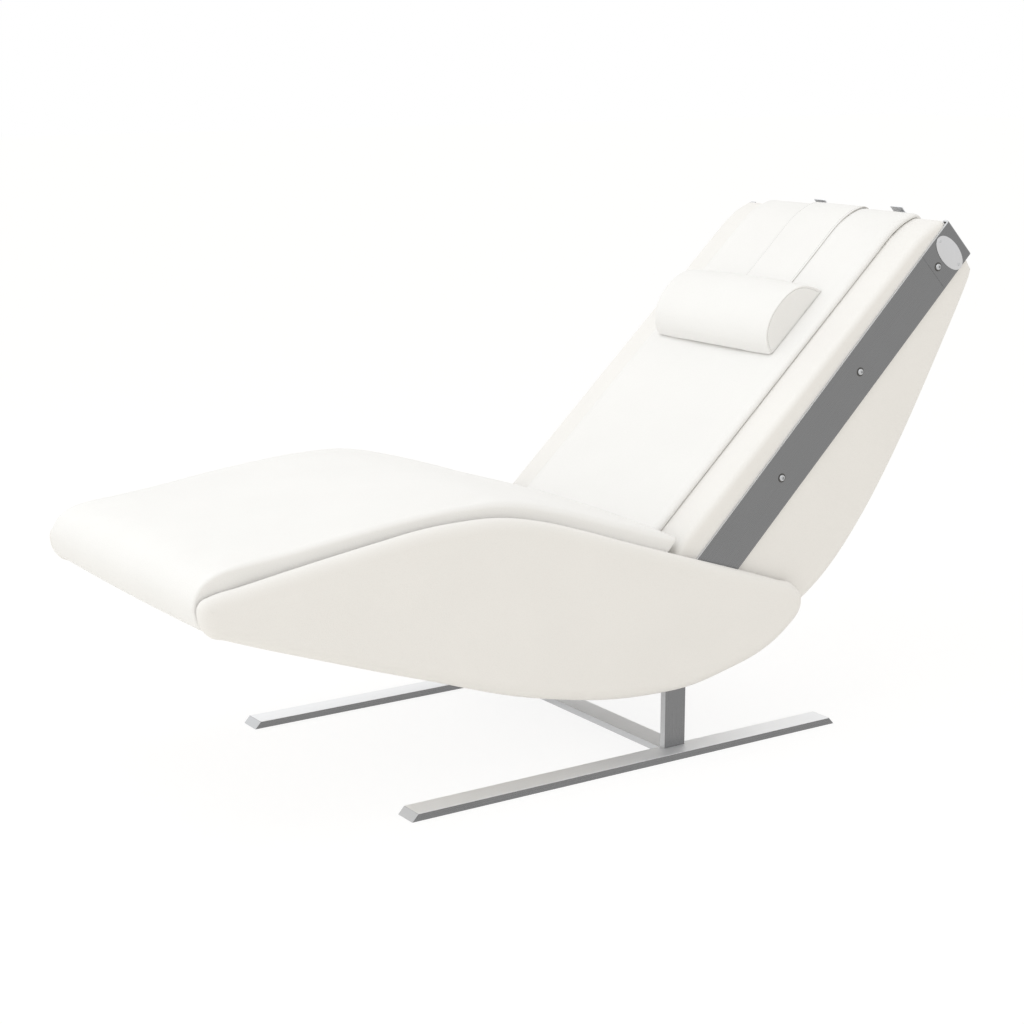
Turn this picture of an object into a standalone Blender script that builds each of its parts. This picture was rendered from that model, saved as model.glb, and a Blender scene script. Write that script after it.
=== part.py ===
"""Spa lounger: a steel skid base, an upholstered leaf-shaped seat and a back that reclines.

X runs from the foot end to the head end, Z is up, and the left side of a person lying
on it is at -Y. The back turns on a shaft through the two posts, a gas spring in the
seat carries its weight, and the neck pillow slides along the back.
"""
import math

import bmesh
import bpy
from mathutils import Matrix, Vector

for old in list(bpy.data.objects):
    bpy.data.objects.remove(old, do_unlink=True)

# Clearances
GAP = 0.0003
RUNNING_FIT = 0.0003
BOLT_FIT = 0.0003
SLOT_FIT = 0.0005
CUT_PAST = 0.002

# Flat bar of the base, and its layout
BAR_WIDTH = 0.057
BAR_THICK = 0.016
SKID_LENGTH = 1.150
SKID_MID_X = 0.022
SKID_SLANT = 0.0145
BASE_HALF = 0.383

# Pivot of the back, on the centre line of the posts
PIVOT_X = 0.157
PIVOT_Z = 0.326
POST_ABOVE_PIVOT = 0.032
BACK_ANGLE = math.radians(43.0)
ARM_ANGLE = math.radians(44.3)
RECLINE_RANGE = math.radians(30.0)
SHAFT_RADIUS = 0.0125
BUSH_WALL = 0.003
FLANGE_RADIUS = 0.022
FLANGE_THICK = 0.002
WASHER_THICK = 0.0067

# Screws and bolts: shank radius, head radius, head height, and how deep they reach
POST_SCREW = (0.004, 0.008, 0.004)
PANEL_BOLT = (0.004, 0.007, 0.005)
ARM_SCREW = (0.004, 0.008, 0.005)
SHAFT_BOLT = (0.005, 0.0095)
POST_SCREW_DEPTH = 0.026
PANEL_BOLT_DEPTH = 0.010
ARM_SCREW_DEPTH = 0.022
SHAFT_BOLT_DEPTH = 0.026
SCREW_RECESS = 0.0005
TAP_SPARE = 0.002

# Side panels of the seat. Seat places are measured from the pivot, forwards negative.
ARM_ROOM = 0.0009
PANEL_THICK = 0.0245
PANEL_ROUND = 0.028
PANEL_FLAT = 0.45
SPACER_HEIGHT = 0.064
SPACER_FOOT = -0.126

# Seat: room beside the cushion, its crown and edge, board thickness, rib places
SEAT_ROOM = 0.008
SEAT_CROWN = 0.010
SEAT_EDGE = 0.022
SEAT_END_NARROW = 0.010
DECK_THICK = 0.012
DECK_REAR = -0.060
UNDER_THICK = 0.010
UNDER_INSET = 0.003
UNDER_FRONT = -1.110
UNDER_REAR = -0.075
NOSE_RAIL_BACK = -1.060
RIB_THICK = 0.018
RIB_PLACES = {"seat_rib_front": -0.780, "seat_rib_rear": -0.440}

# Back: shell, cushion and arms, measured from the pivot along and across the back
SHELL_WALL = 0.020
SHELL_EDGE = 0.0145
SHELL_TOP = 0.112
SHELL_MOUTH = (0.030, 0.130, -0.110, 0.075)
MOUTH_STEP = 0.001
BACK_CUSHION_HALF = 0.263
BACK_CUSHION_THICK = 0.0125
BACK_CUSHION_CROWN = 0.005
BACK_CUSHION_EDGE = 0.010
BACK_CUSHION_START = 0.098
BACK_END_NARROW = 0.006
BACK_END_THIN = 0.6
ARM_THICK = 0.0048
ARM_WIDTH = 0.110
ARM_LENGTH = 1.130
BRACKET_LENGTH = 0.114
BRACKET_BEND = 0.006
BRACKET_RELIEF = 0.018
ARM_SCREWS = {"lower": 0.394, "middle": 0.711}
HEAD_SCREW_INSET = 0.095
TIE_RADIUS = 0.011
HOOK_Y = 0.137
HOOK_WIDTH = 0.040
HOOK_THICK = 0.003
HOOK_REACH = 0.042
HOOK_FOOT = 0.025
HOOK_LIP = 0.038

# Neck pillow and its strap
PILLOW_FROM_HEAD = 0.488
PILLOW_DEPTH = 0.199
PILLOW_HALF = 0.200
PILLOW_HEIGHT = 0.065
PILLOW_END_SIZE = 0.94
PILLOW_SECTIONS = 13
STRAP_HALF = 0.0875
STRAP_THICK = 0.0025
STRAP_TUCK = 0.103

# Gas spring and slotted lever, along X from the pivot
LEVER_DROP = 0.098
LEVER_THICK = 0.012
LEVER_HUB = 0.026
LEVER_END = 0.016
SLOT_SPARE = 0.002
PIN_RADIUS = 0.005
FORK_SIDE = 0.024
FORK_CHEEK = 0.008
FORK_NOSE = 0.012
FORK_ROOM = 0.010
FORK_BASE = 0.016
ROD_RADIUS = 0.005
CYLINDER_RADIUS = 0.014
CYLINDER_WALL = 0.002
CYLINDER_SPAN = (-0.290, -0.085)
GLAND_LENGTH = 0.012
PISTON_BACK = -0.145
PISTON_LENGTH = 0.012
TUBE_SIDE = 0.022
TUBE_WALL = 0.002
TUBE_PLACES = {"front": -0.255, "rear": -0.115}
CLAMP_LENGTH = 0.022
CLAMP_WALL = 0.008

# Finishes: colour, roughness, metallic
LEATHER = ((0.93, 0.925, 0.90, 1.0), 0.45, 0.0)
LEATHER_SIDE = ((0.82, 0.79, 0.75, 1.0), 0.5, 0.0)
BRUSHED_STEEL = ((0.46, 0.46, 0.47, 1.0), 0.35, 1.0)
DARK_STEEL = ((0.19, 0.19, 0.19, 1.0), 0.4, 1.0)
SCREW_STEEL = ((0.60, 0.60, 0.61, 1.0), 0.2, 1.0)
PLYWOOD = ((0.62, 0.48, 0.32, 1.0), 0.7, 0.0)
BRONZE = ((0.55, 0.38, 0.18, 1.0), 0.4, 1.0)
FRICTION = ((0.08, 0.08, 0.085, 1.0), 0.8, 0.0)
BLACK_PAINT = ((0.02, 0.02, 0.022, 1.0), 0.4, 0.0)

# Widths from the base outwards: post, bush flange, washer, arm, side panel
SIDES = {"left": -1, "right": 1}
POST_INNER = BASE_HALF - BAR_WIDTH
POST_OUTER = POST_INNER + BAR_THICK
WASHER_INNER = POST_OUTER + FLANGE_THICK + GAP
ARM_INNER = WASHER_INNER + WASHER_THICK + GAP
ARM_OUTER = ARM_INNER + ARM_THICK
SHELL_HALF = ARM_INNER - GAP
ROOM_HALF = SHELL_HALF - SHELL_WALL
PANEL_INNER = ARM_OUTER + ARM_SCREW[2] + ARM_ROOM
CARCASS_HALF = PANEL_INNER - GAP
SEAT_HALF = PANEL_INNER - SEAT_ROOM
ARM_SCREW_PLACES = dict(ARM_SCREWS, upper=ARM_LENGTH - HEAD_SCREW_INSET)
PILLOW_FOOT = ARM_LENGTH - PILLOW_FROM_HEAD
PIN_FORWARD = LEVER_DROP * math.tan(RECLINE_RANGE / 2)
CUSHION_TOP = SHELL_TOP + GAP + BACK_CUSHION_THICK + BACK_CUSHION_CROWN

# Planes for flat outlines: side view, front view and plan
SIDE_VIEW = Matrix(((1, 0, 0, 0), (0, 0, 1, 0), (0, 1, 0, 0), (0, 0, 0, 1)))
FRONT_VIEW = Matrix(((0, 0, 1, 0), (1, 0, 0, 0), (0, 1, 0, 0), (0, 0, 0, 1)))
PLAN_VIEW = Matrix.Identity(4)

lounger = bpy.data.collections.new("massage_lounger")
cutters = bpy.data.collections.new("cutters")
bpy.context.scene.collection.children.link(lounger)
bpy.context.scene.collection.children.link(cutters)


def finished(name, mesh, finish, parent=None):
    """One named piece with its own material."""
    piece = bpy.data.objects.new(name, mesh)
    lounger.objects.link(piece)
    piece.parent = parent
    colour, roughness, metallic = finish
    material = bpy.data.materials.new(name)
    material.use_nodes = True
    shader = material.node_tree.nodes["Principled BSDF"]
    shader.inputs["Base Color"].default_value = colour
    shader.inputs["Roughness"].default_value = roughness
    shader.inputs["Metallic"].default_value = metallic
    mesh.materials.append(material)
    return piece


def cleaned(mesh):
    """Welds a mesh and turns its faces outwards."""
    work = bmesh.new()
    work.from_mesh(mesh)
    bmesh.ops.remove_doubles(work, verts=work.verts, dist=1e-5)
    bmesh.ops.recalc_face_normals(work, faces=work.faces)
    if work.calc_volume(signed=True) < 0:
        bmesh.ops.reverse_faces(work, faces=work.faces)
    work.to_mesh(mesh)
    work.free()
    mesh.shade_smooth()
    mesh.set_sharp_from_angle(angle=math.radians(35))
    return mesh


def plate(loops, low, high, plane=SIDE_VIEW, edge=0.0, shrink=0.0, steps=5):
    """A flat piece: closed loops, the first the outside, filled between two depths.

    A loop is a list of (a, b) points. A loop given as ("smooth", points) is a soft curve
    through its points. The edge is rounded by the given radius.
    """
    curve = bpy.data.curves.new("outline", "CURVE")
    curve.dimensions = "2D"
    curve.fill_mode = "BOTH"
    curve.resolution_u = steps
    curve.render_resolution_u = 0
    curve.extrude = (high - low) / 2 - edge
    curve.bevel_depth = edge
    curve.bevel_resolution = 2
    curve.offset = -edge - shrink
    for loop in loops:
        smooth = loop[0] == "smooth"
        points = loop[1] if smooth else loop
        spline = curve.splines.new("BEZIER" if smooth else "POLY")
        spline.use_cyclic_u = True
        if smooth:
            spline.bezier_points.add(len(points) - 1)
            for knot, (a, b) in zip(spline.bezier_points, points):
                knot.co = (a, b, 0)
                knot.handle_left_type = "AUTO"
                knot.handle_right_type = "AUTO"
        else:
            spline.points.add(len(points) - 1)
            for knot, (a, b) in zip(spline.points, points):
                knot.co = (a, b, 0, 1)
    holder = bpy.data.objects.new("outline", curve)
    bpy.context.scene.collection.objects.link(holder)
    graph = bpy.context.evaluated_depsgraph_get()
    mesh = bpy.data.meshes.new_from_object(holder.evaluated_get(graph))
    bpy.data.objects.remove(holder, do_unlink=True)
    bpy.data.curves.remove(curve)
    mesh.transform(Matrix.Translation((0, 0, (low + high) / 2)))
    mesh.transform(plane)
    return cleaned(mesh)


def box(a_low, a_high, b_low, b_high):
    """Corners of a rectangle."""
    return [(a_low, b_low), (a_high, b_low), (a_high, b_high), (a_low, b_high)]


def disc(a, b, radius, count=24):
    """Points of a circle."""
    turns = [2 * math.pi * i / count for i in range(count)]
    return [(a + radius * math.cos(t), b + radius * math.sin(t)) for t in turns]


def arc(a, b, radius, start, end, count=12):
    """Points along a circular arc, both ends included, angles in degrees."""
    turns = [math.radians(start + (end - start) * i / count) for i in range(count + 1)]
    return [(a + radius * math.cos(t), b + radius * math.sin(t)) for t in turns]


def turned(name, profile, finish, parent=None, steps=24):
    """A turned piece about Z from (radius, height) points, its outer side top to bottom.

    A profile that starts off the axis is a closed ring.
    """
    mesh = bpy.data.meshes.new(name)
    edges = [(i, i + 1) for i in range(len(profile) - 1)]
    if profile[0][0] > 0:
        edges.append((len(profile) - 1, 0))
    mesh.from_pydata([(r, 0, z) for r, z in profile], edges, [])
    piece = finished(name, mesh, finish, parent)
    screw = piece.modifiers.new("turn", "SCREW")
    screw.axis = "Z"
    screw.steps = steps
    screw.render_steps = steps
    screw.use_merge_vertices = True
    screw.merge_threshold = 1e-5
    return piece


def ring_profile(inner, outer, low, high):
    """Closed profile of a plain ring."""
    return [(inner, high), (outer, high), (outer, low), (inner, low)]


def along_y(piece, x, y, z, side=1):
    """Lays a turned piece along Y, its top pointing to the given side."""
    piece.rotation_euler = (-side * math.radians(90), 0, 0)
    piece.location = (x, y, z)


def cut_round(target, radius, start, end, segments=16):
    """Bores a hole between two points."""
    start = Vector(start)
    span = Vector(end) - start
    turn = span.to_track_quat("Z", "Y").to_matrix().to_4x4()
    work = bmesh.new()
    bmesh.ops.create_cone(work, cap_ends=True, segments=segments, radius1=radius, radius2=radius,
                          depth=span.length, matrix=Matrix.Translation(start + span / 2) @ turn)
    mesh = bpy.data.meshes.new(target.name + "_bore")
    work.to_mesh(mesh)
    work.free()
    cut(target, mesh)


def cut(target, mesh):
    """Takes the cutter's volume out of a piece. The cutter moves with the piece's parent."""
    cutter = bpy.data.objects.new(target.name + "_cut", mesh)
    cutters.objects.link(cutter)
    cutter.parent = target.parent
    cutter.hide_render = True
    cutter.display_type = "WIRE"
    boolean = target.modifiers.new("cut", "BOOLEAN")
    boolean.operation = "DIFFERENCE"
    boolean.solver = "EXACT"
    boolean.object = cutter


def lofted(name, sections, finish, parent=None):
    """A soft form lofted through closed sections of equal point counts, capped at both ends."""
    work = bmesh.new()
    rows = [[work.verts.new(point) for point in section] for section in sections]
    for row, following in zip(rows, rows[1:]):
        for i in range(len(row)):
            j = (i + 1) % len(row)
            work.faces.new((row[i], row[j], following[j], following[i]))
    work.faces.new(rows[0])
    work.faces.new(rows[-1])
    mesh = bpy.data.meshes.new(name)
    work.to_mesh(mesh)
    work.free()
    return finished(name, cleaned(mesh), finish, parent)


def pad_section(half, thick, crown, edge, across=6, round_steps=4):
    """(y, height) points round a cushion: crowned top, sides drawn in at the foot."""
    points = []
    for i in range(round_steps + 1):
        t = math.radians(-90 + 180 * i / round_steps)
        points.append((half - edge + edge * math.cos(t), thick / 2 * (1 + math.sin(t))))
    right = list(points)
    for i in range(1, across):
        y = (half - edge) * (1 - 2 * i / across)
        points.append((y, thick + crown * (1 - (y / (half - edge)) ** 2)))
    points += [(-y, h) for y, h in reversed(right)]
    return points


def soft_path(knots, per_span=4):
    """Points along a smooth line through the knots, each knot a tuple of numbers."""
    ends = [knots[0]] + list(knots) + [knots[-1]]
    path = []
    for a, b, c, d in zip(ends, ends[1:], ends[2:], ends[3:]):
        for i in range(per_span):
            t = i / per_span
            weights = ((-t + 2 * t * t - t ** 3) / 2, (2 - 5 * t * t + 3 * t ** 3) / 2,
                       (t + 4 * t * t - 3 * t ** 3) / 2, (t ** 3 - t * t) / 2)
            path.append(tuple(sum(w * p[k] for w, p in zip(weights, (a, b, c, d)))
                              for k in range(len(b))))
    return path + [tuple(knots[-1])]


def between(line, low, high):
    """The stretch of a line of rising x between two x values, cut exactly there."""
    middle = [(x, z) for x, z in line if low < x < high]
    return [(low, level_at(line, low))] + middle + [(high, level_at(line, high))]


def level_at(line, x):
    """Height of a line of (x, z) points at a given x."""
    for (xa, za), (xb, zb) in zip(line, line[1:]):
        if min(xa, xb) <= x <= max(xa, xb):
            return za + (zb - za) * (x - xa) / (xb - xa)
    raise ValueError("outside the line")


def heading(path, i):
    """Direction of a path at one of its points, in its first two numbers."""
    ahead = path[min(i + 1, len(path) - 1)]
    behind = path[max(i - 1, 0)]
    return Vector((ahead[0] - behind[0], ahead[1] - behind[1])).normalized()


def from_head(points):
    """Points of the back given by their distance from the head end and their height."""
    return [(ARM_LENGTH - distance, height) for distance, height in points]


def axis_empty(name, x, z, angle=0.0):
    """An empty on a cross axis, leaned back by an angle."""
    empty = bpy.data.objects.new(name, None)
    lounger.objects.link(empty)
    empty.location = (x, 0, z)
    empty.rotation_euler = (0, -angle, 0)
    return empty


def span_of(side, inner, outer):
    """Depth range of a piece on one side of the middle plane."""
    return min(side * inner, side * outer), max(side * inner, side * outer)


# Base: two skids, the cross bar between them and a post on each skid's inner edge
seat = axis_empty("seat_frame", PIVOT_X, PIVOT_Z)
skid_foot = SKID_MID_X - SKID_LENGTH / 2
skid_head = SKID_MID_X + SKID_LENGTH / 2
skid_outline = [(skid_foot, 0), (skid_head, 0), (skid_head - SKID_SLANT, BAR_THICK),
                (skid_foot + SKID_SLANT, BAR_THICK)]
post_faces = (PIVOT_X - BAR_WIDTH / 2, PIVOT_X + BAR_WIDTH / 2)
post_outline = box(*post_faces, BAR_THICK + GAP, PIVOT_Z + POST_ABOVE_PIVOT)
bush_bore = SHAFT_RADIUS + RUNNING_FIT
bush_outer = bush_bore + BUSH_WALL
bolt_levels = {"lower": SPACER_FOOT + SPACER_HEIGHT / 4, "upper": SPACER_FOOT + SPACER_HEIGHT * 3 / 4}
screw_places = {"front": PIVOT_X - BAR_WIDTH / 4, "rear": PIVOT_X + BAR_WIDTH / 4}
for name, side in SIDES.items():
    skid = finished("skid_" + name, plate([skid_outline], *span_of(side, POST_INNER, BASE_HALF)),
                    BRUSHED_STEEL)
    post = finished("post_" + name, plate([post_outline], *span_of(side, POST_INNER, POST_OUTER)),
                    BRUSHED_STEEL)
    post_mid = side * (POST_INNER + POST_OUTER) / 2
    shank, head, height = POST_SCREW
    screw_tip = BAR_THICK + POST_SCREW_DEPTH
    for place, x in screw_places.items():
        cut_round(skid, shank + BOLT_FIT, (x, post_mid, -CUT_PAST), (x, post_mid, BAR_THICK + CUT_PAST))
        cut_round(skid, head + BOLT_FIT, (x, post_mid, -CUT_PAST), (x, post_mid, height + BOLT_FIT))
        cut_round(post, shank + BOLT_FIT, (x, post_mid, BAR_THICK - CUT_PAST),
                  (x, post_mid, screw_tip + TAP_SPARE))
        screw = turned("post_screw_%s_%s" % (name, place),
                       [(0, screw_tip), (shank, screw_tip), (shank, height), (head, height),
                        (head, SCREW_RECESS), (0, SCREW_RECESS)], SCREW_STEEL, steps=16)
        screw.location = (x, post_mid, 0)
    cut_round(post, bush_outer + GAP, (PIVOT_X, side * (POST_INNER - CUT_PAST), PIVOT_Z),
              (PIVOT_X, side * (POST_OUTER + CUT_PAST), PIVOT_Z), 24)

    # Bush in the post, and the friction washer that holds the arm where it is put
    bush = turned("post_bush_" + name,
                  [(bush_bore, FLANGE_THICK), (FLANGE_RADIUS, FLANGE_THICK), (FLANGE_RADIUS, GAP),
                   (bush_outer, GAP), (bush_outer, GAP - BAR_THICK), (bush_bore, GAP - BAR_THICK)], BRONZE)
    along_y(bush, PIVOT_X, side * POST_OUTER, PIVOT_Z, side)
    washer = turned("friction_washer_" + name,
                    ring_profile(bush_bore, FLANGE_RADIUS, 0, WASHER_THICK), FRICTION)
    along_y(washer, PIVOT_X, side * WASHER_INNER, PIVOT_Z, side)

    # Spacer and bolts between the post and the seat's side panel
    spacer_outline = box(-BAR_WIDTH / 2, BAR_WIDTH / 2, SPACER_FOOT, SPACER_FOOT + SPACER_HEIGHT)
    spacer = finished("panel_spacer_" + name,
                      plate([spacer_outline], *span_of(side, POST_OUTER + GAP, CARCASS_HALF)),
                      BRUSHED_STEEL, seat)
    shank, head, height = PANEL_BOLT
    bolt_tip = PANEL_INNER + PANEL_BOLT_DEPTH - POST_INNER
    for level, z in bolt_levels.items():
        cut_round(post, shank + BOLT_FIT, (PIVOT_X, side * (POST_INNER - CUT_PAST), PIVOT_Z + z),
                  (PIVOT_X, side * (POST_OUTER + CUT_PAST), PIVOT_Z + z))
        cut_round(spacer, shank + BOLT_FIT, (0, side * (POST_OUTER - CUT_PAST), z),
                  (0, side * (PANEL_INNER + CUT_PAST), z))
        bolt = turned("panel_bolt_%s_%s" % (name, level),
                      [(0, bolt_tip), (shank, bolt_tip), (shank, -GAP), (head, -GAP), (head, -height),
                       (0, -height)], SCREW_STEEL, seat, 16)
        along_y(bolt, 0, side * POST_INNER, z, side)

finished("cross_bar", plate([box(*post_faces, 0, BAR_THICK)], -POST_INNER + GAP, POST_INNER - GAP),
         BRUSHED_STEEL)

# Seat side panels: leaf-shaped upholstered boards, soft outside and flat against the carcass
panel_outline = [(-1.163, 0.186), (-1.106, 0.218), (-0.930, 0.2465), (-0.760, 0.271),
                 (-0.565, 0.2875), (-0.396, 0.269), (-0.060, 0.157), (0.257, 0.049), (0.312, 0.025),
                 (0.334, -0.014), (0.292, -0.067), (0.090, -0.147), (-0.080, -0.1625),
                 (-0.380, -0.1235), (-0.675, -0.030), (-0.910, 0.052), (-1.108, 0.1262), (-1.142, 0.139)]
panel_depth = PANEL_THICK / (1 + PANEL_FLAT)
for name, side in SIDES.items():
    mesh = plate([("smooth", panel_outline)], -PANEL_ROUND, PANEL_ROUND, edge=PANEL_ROUND * 0.999)
    mesh.transform(Matrix.Scale(panel_depth / PANEL_ROUND, 4, (0, 1, 0)))
    mesh.transform(Matrix.Translation((0, side * (PANEL_INNER + PANEL_FLAT * panel_depth), 0)))
    panel = finished("side_panel_" + name, mesh, LEATHER_SIDE, seat)
    cut(panel, plate([box(-2, 2, -1, 1)], *span_of(side, PANEL_INNER - PANEL_THICK, PANEL_INNER)))
    for z in bolt_levels.values():
        cut_round(panel, PANEL_BOLT[0] + BOLT_FIT, (0, side * (PANEL_INNER - CUT_PAST), z),
                  (0, side * (PANEL_INNER + PANEL_BOLT_DEPTH + TAP_SPARE), z))

# Seat cushion: from the back, over the knees and round the nose to the underside.
# Each knot is x and z of the upper edge, and the cushion's thickness there.
seat_knots = [(-0.004, 0.173, 0.052), (-0.042, 0.1857, 0.060), (-0.180, 0.229, 0.062),
              (-0.313, 0.273, 0.062), (-0.442, 0.306, 0.062), (-0.553, 0.3144, 0.062),
              (-0.723, 0.303, 0.062), (-0.939, 0.277, 0.064), (-1.043, 0.2655, 0.066),
              (-1.110, 0.255, 0.060), (-1.147, 0.236, 0.045), (-1.168, 0.206, 0.033),
              (-1.1705, 0.176, 0.026), (-1.157, 0.148, 0.019), (-1.125, 0.1325, 0.013)]
seat_path = soft_path(seat_knots, 2)
back_slope = Vector((math.cos(BACK_ANGLE), math.sin(BACK_ANGLE)))
seat_sections = []
seat_line = []
for i, (x, z, thick) in enumerate(seat_path):
    run = -heading(seat_path, i)
    up = Vector((-run.y, run.x))
    if i < 2:
        up = up.lerp(back_slope, 1 - i / 2).normalized()
    foot = Vector((x, z)) - up * thick
    seat_line.append(tuple(foot - up * GAP))
    narrow = SEAT_END_NARROW if i in (0, len(seat_path) - 1) else 0.0
    crown = SEAT_CROWN * min(1.0, max(0.2, thick / SEAT_EDGE - 1))
    section = pad_section(SEAT_HALF - narrow, thick, crown, SEAT_EDGE)
    seat_sections.append([(foot.x + up.x * h, y, foot.y + up.y * h) for y, h in section])
lofted("seat_cushion", seat_sections, LEATHER, seat)

# Deck board under the cushion
crossing = next(i for i, (x, z) in enumerate(seat_line) if x < NOSE_RAIL_BACK)
deck_top = between(seat_line[crossing::-1], NOSE_RAIL_BACK, DECK_REAR)
deck_foot = [(x, z - DECK_THICK) for x, z in deck_top]
finished("seat_deck", plate([deck_top + deck_foot[::-1]], -CARCASS_HALF, CARCASS_HALF), PLYWOOD, seat)

# Under panel: closes the seat from the nose to the front of the posts
under_knots = [(-1.145, 0.138), (-0.9185, 0.055), (-0.675, -0.030), (-0.491, -0.0905), (-0.380, -0.1235),
               (-0.260, -0.1484), (-0.126, -0.1613), (-0.0595, -0.1626)]
under_line = [(x, z + UNDER_INSET) for x, z in soft_path(under_knots, 3)]
under_foot = between(under_line, UNDER_FRONT, UNDER_REAR)
under_top = [(x, z + UNDER_THICK) for x, z in under_foot]
finished("under_panel", plate([under_foot + under_top[::-1]], -CARCASS_HALF, CARCASS_HALF),
         LEATHER_SIDE, seat)

# Rail that rounds the nose inside the cushion
nose_back = NOSE_RAIL_BACK - GAP
nose_outline = ([(nose_back, deck_top[0][1])] + seat_line[crossing:]
                + [(nose_back, level_at(under_top, nose_back) + GAP)])
finished("nose_rail", plate([nose_outline], -CARCASS_HALF, CARCASS_HALF), PLYWOOD, seat)

# Ribs between the deck and the under panel
for name, x in RIB_PLACES.items():
    faces = (x - RIB_THICK / 2, x + RIB_THICK / 2)
    rib = [(face, level_at(under_top, face) + GAP) for face in faces]
    rib += [(face, level_at(deck_foot, face) - GAP) for face in reversed(faces)]
    finished(name, plate([rib], -CARCASS_HALF, CARCASS_HALF), PLYWOOD, seat)

# Gas spring: cylinder held in two clamps that hang from cross tubes
cylinder_bore = CYLINDER_RADIUS - CYLINDER_WALL
gland_bore = ROD_RADIUS + RUNNING_FIT
start_x, end_x = CYLINDER_SPAN
cylinder = turned("gas_spring_cylinder",
                  [(0, start_x + CYLINDER_WALL), (cylinder_bore, start_x + CYLINDER_WALL),
                   (cylinder_bore, end_x - GLAND_LENGTH), (gland_bore, end_x - GLAND_LENGTH),
                   (gland_bore, end_x), (CYLINDER_RADIUS, end_x), (CYLINDER_RADIUS, start_x),
                   (0, start_x)], BLACK_PAINT, seat)
cylinder.rotation_euler = (0, math.radians(90), 0)
cylinder.location = (0, 0, -LEVER_DROP)
clamp_half = CYLINDER_RADIUS + CLAMP_WALL
clamp_outline = box(-clamp_half, clamp_half, -LEVER_DROP - clamp_half, -LEVER_DROP + clamp_half)
tube_low = -LEVER_DROP + clamp_half + GAP
for name, x in TUBE_PLACES.items():
    half = TUBE_SIDE / 2
    bore = half - TUBE_WALL
    tube = [box(x - half, x + half, tube_low, tube_low + TUBE_SIDE),
            box(x - bore, x + bore, tube_low + TUBE_WALL, tube_low + TUBE_SIDE - TUBE_WALL)]
    finished("spring_tube_" + name, plate(tube, -CARCASS_HALF, CARCASS_HALF), BLACK_PAINT, seat)
    clamp = [clamp_outline, disc(0, -LEVER_DROP, CYLINDER_RADIUS + GAP)]
    finished("spring_clamp_" + name,
             plate(clamp, x - CLAMP_LENGTH / 2, x + CLAMP_LENGTH / 2, FRONT_VIEW), BLACK_PAINT, seat)

# Rod with its piston, fork and cross pin
rod_axis = axis_empty("rod_axis", PIVOT_X + PIN_FORWARD, PIVOT_Z - LEVER_DROP)
fork_throat = -LEVER_END - FORK_ROOM
fork_back = fork_throat - FORK_BASE
rod_end = fork_back - GAP
piston_low = PISTON_BACK - PIN_FORWARD
piston_high = piston_low + PISTON_LENGTH
piston_radius = cylinder_bore - GAP
rod = turned("gas_spring_rod",
             [(0, rod_end), (ROD_RADIUS, rod_end), (ROD_RADIUS, piston_high), (piston_radius, piston_high),
              (piston_radius, piston_low), (0, piston_low)], SCREW_STEEL, rod_axis)
rod.rotation_euler = (0, math.radians(90), 0)
fork_inner = LEVER_THICK / 2 + GAP
fork_outer = fork_inner + FORK_CHEEK
fork_outline = [(fork_back, -fork_outer), (FORK_NOSE, -fork_outer), (FORK_NOSE, -fork_inner),
                (fork_throat, -fork_inner), (fork_throat, fork_inner), (FORK_NOSE, fork_inner),
                (FORK_NOSE, fork_outer), (fork_back, fork_outer)]
fork = finished("rod_fork", plate([fork_outline], -FORK_SIDE / 2, FORK_SIDE / 2, PLAN_VIEW),
                SCREW_STEEL, rod_axis)
cut_round(fork, PIN_RADIUS + GAP, (0, -fork_outer - CUT_PAST, 0), (0, fork_outer + CUT_PAST, 0))
pin = turned("rod_pin", [(0, fork_outer), (PIN_RADIUS, fork_outer), (PIN_RADIUS, -fork_outer),
                         (0, -fork_outer)], SCREW_STEEL, rod_axis)
pin.rotation_euler = (math.radians(90), 0, 0)

# Back: everything below turns about the shaft in the posts
back = axis_empty("back_axis", PIVOT_X, PIVOT_Z, BACK_ANGLE)
arms = axis_empty("arm_axis", PIVOT_X, PIVOT_Z, ARM_ANGLE)
lean = Matrix.Rotation(BACK_ANGLE - ARM_ANGLE, 4, "Y")

# Shaft, tapped at both ends for the bolts that hold the arms
bolt_shank, bolt_head = SHAFT_BOLT
shaft_tap = bolt_shank + BOLT_FIT
shaft_half = ARM_INNER - GAP
shaft_deep = shaft_half - SHAFT_BOLT_DEPTH - TAP_SPARE
shaft = turned("pivot_shaft",
               [(0, shaft_deep), (shaft_tap, shaft_deep), (shaft_tap, shaft_half), (SHAFT_RADIUS, shaft_half),
                (SHAFT_RADIUS, -shaft_half), (shaft_tap, -shaft_half), (shaft_tap, -shaft_deep),
                (0, -shaft_deep)], BRUSHED_STEEL, arms)
shaft.rotation_euler = (math.radians(90), 0, 0)

# Slotted lever that pushes the gas spring's rod in as the back goes down
slot_low = LEVER_DROP - SLOT_SPARE
slot_high = LEVER_DROP / math.cos(RECLINE_RANGE / 2) + SLOT_SPARE
slot_half = PIN_RADIUS + SLOT_FIT
lever_outline = (arc(0, 0, LEVER_HUB, 0, 180) + [(-LEVER_END, -slot_low)]
                 + arc(0, -slot_high, LEVER_END, 180, 360) + [(LEVER_END, -slot_low)])
lever_slot = arc(0, -slot_low, slot_half, 0, 180, 8) + arc(0, -slot_high, slot_half, 180, 360, 8)
lever = finished("slotted_lever", plate([lever_outline, disc(0, 0, SHAFT_RADIUS + GAP), lever_slot],
                                        -LEVER_THICK / 2, LEVER_THICK / 2), BLACK_PAINT, arms)
lever.rotation_euler = (0, ARM_ANGLE - RECLINE_RANGE / 2, 0)

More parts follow.
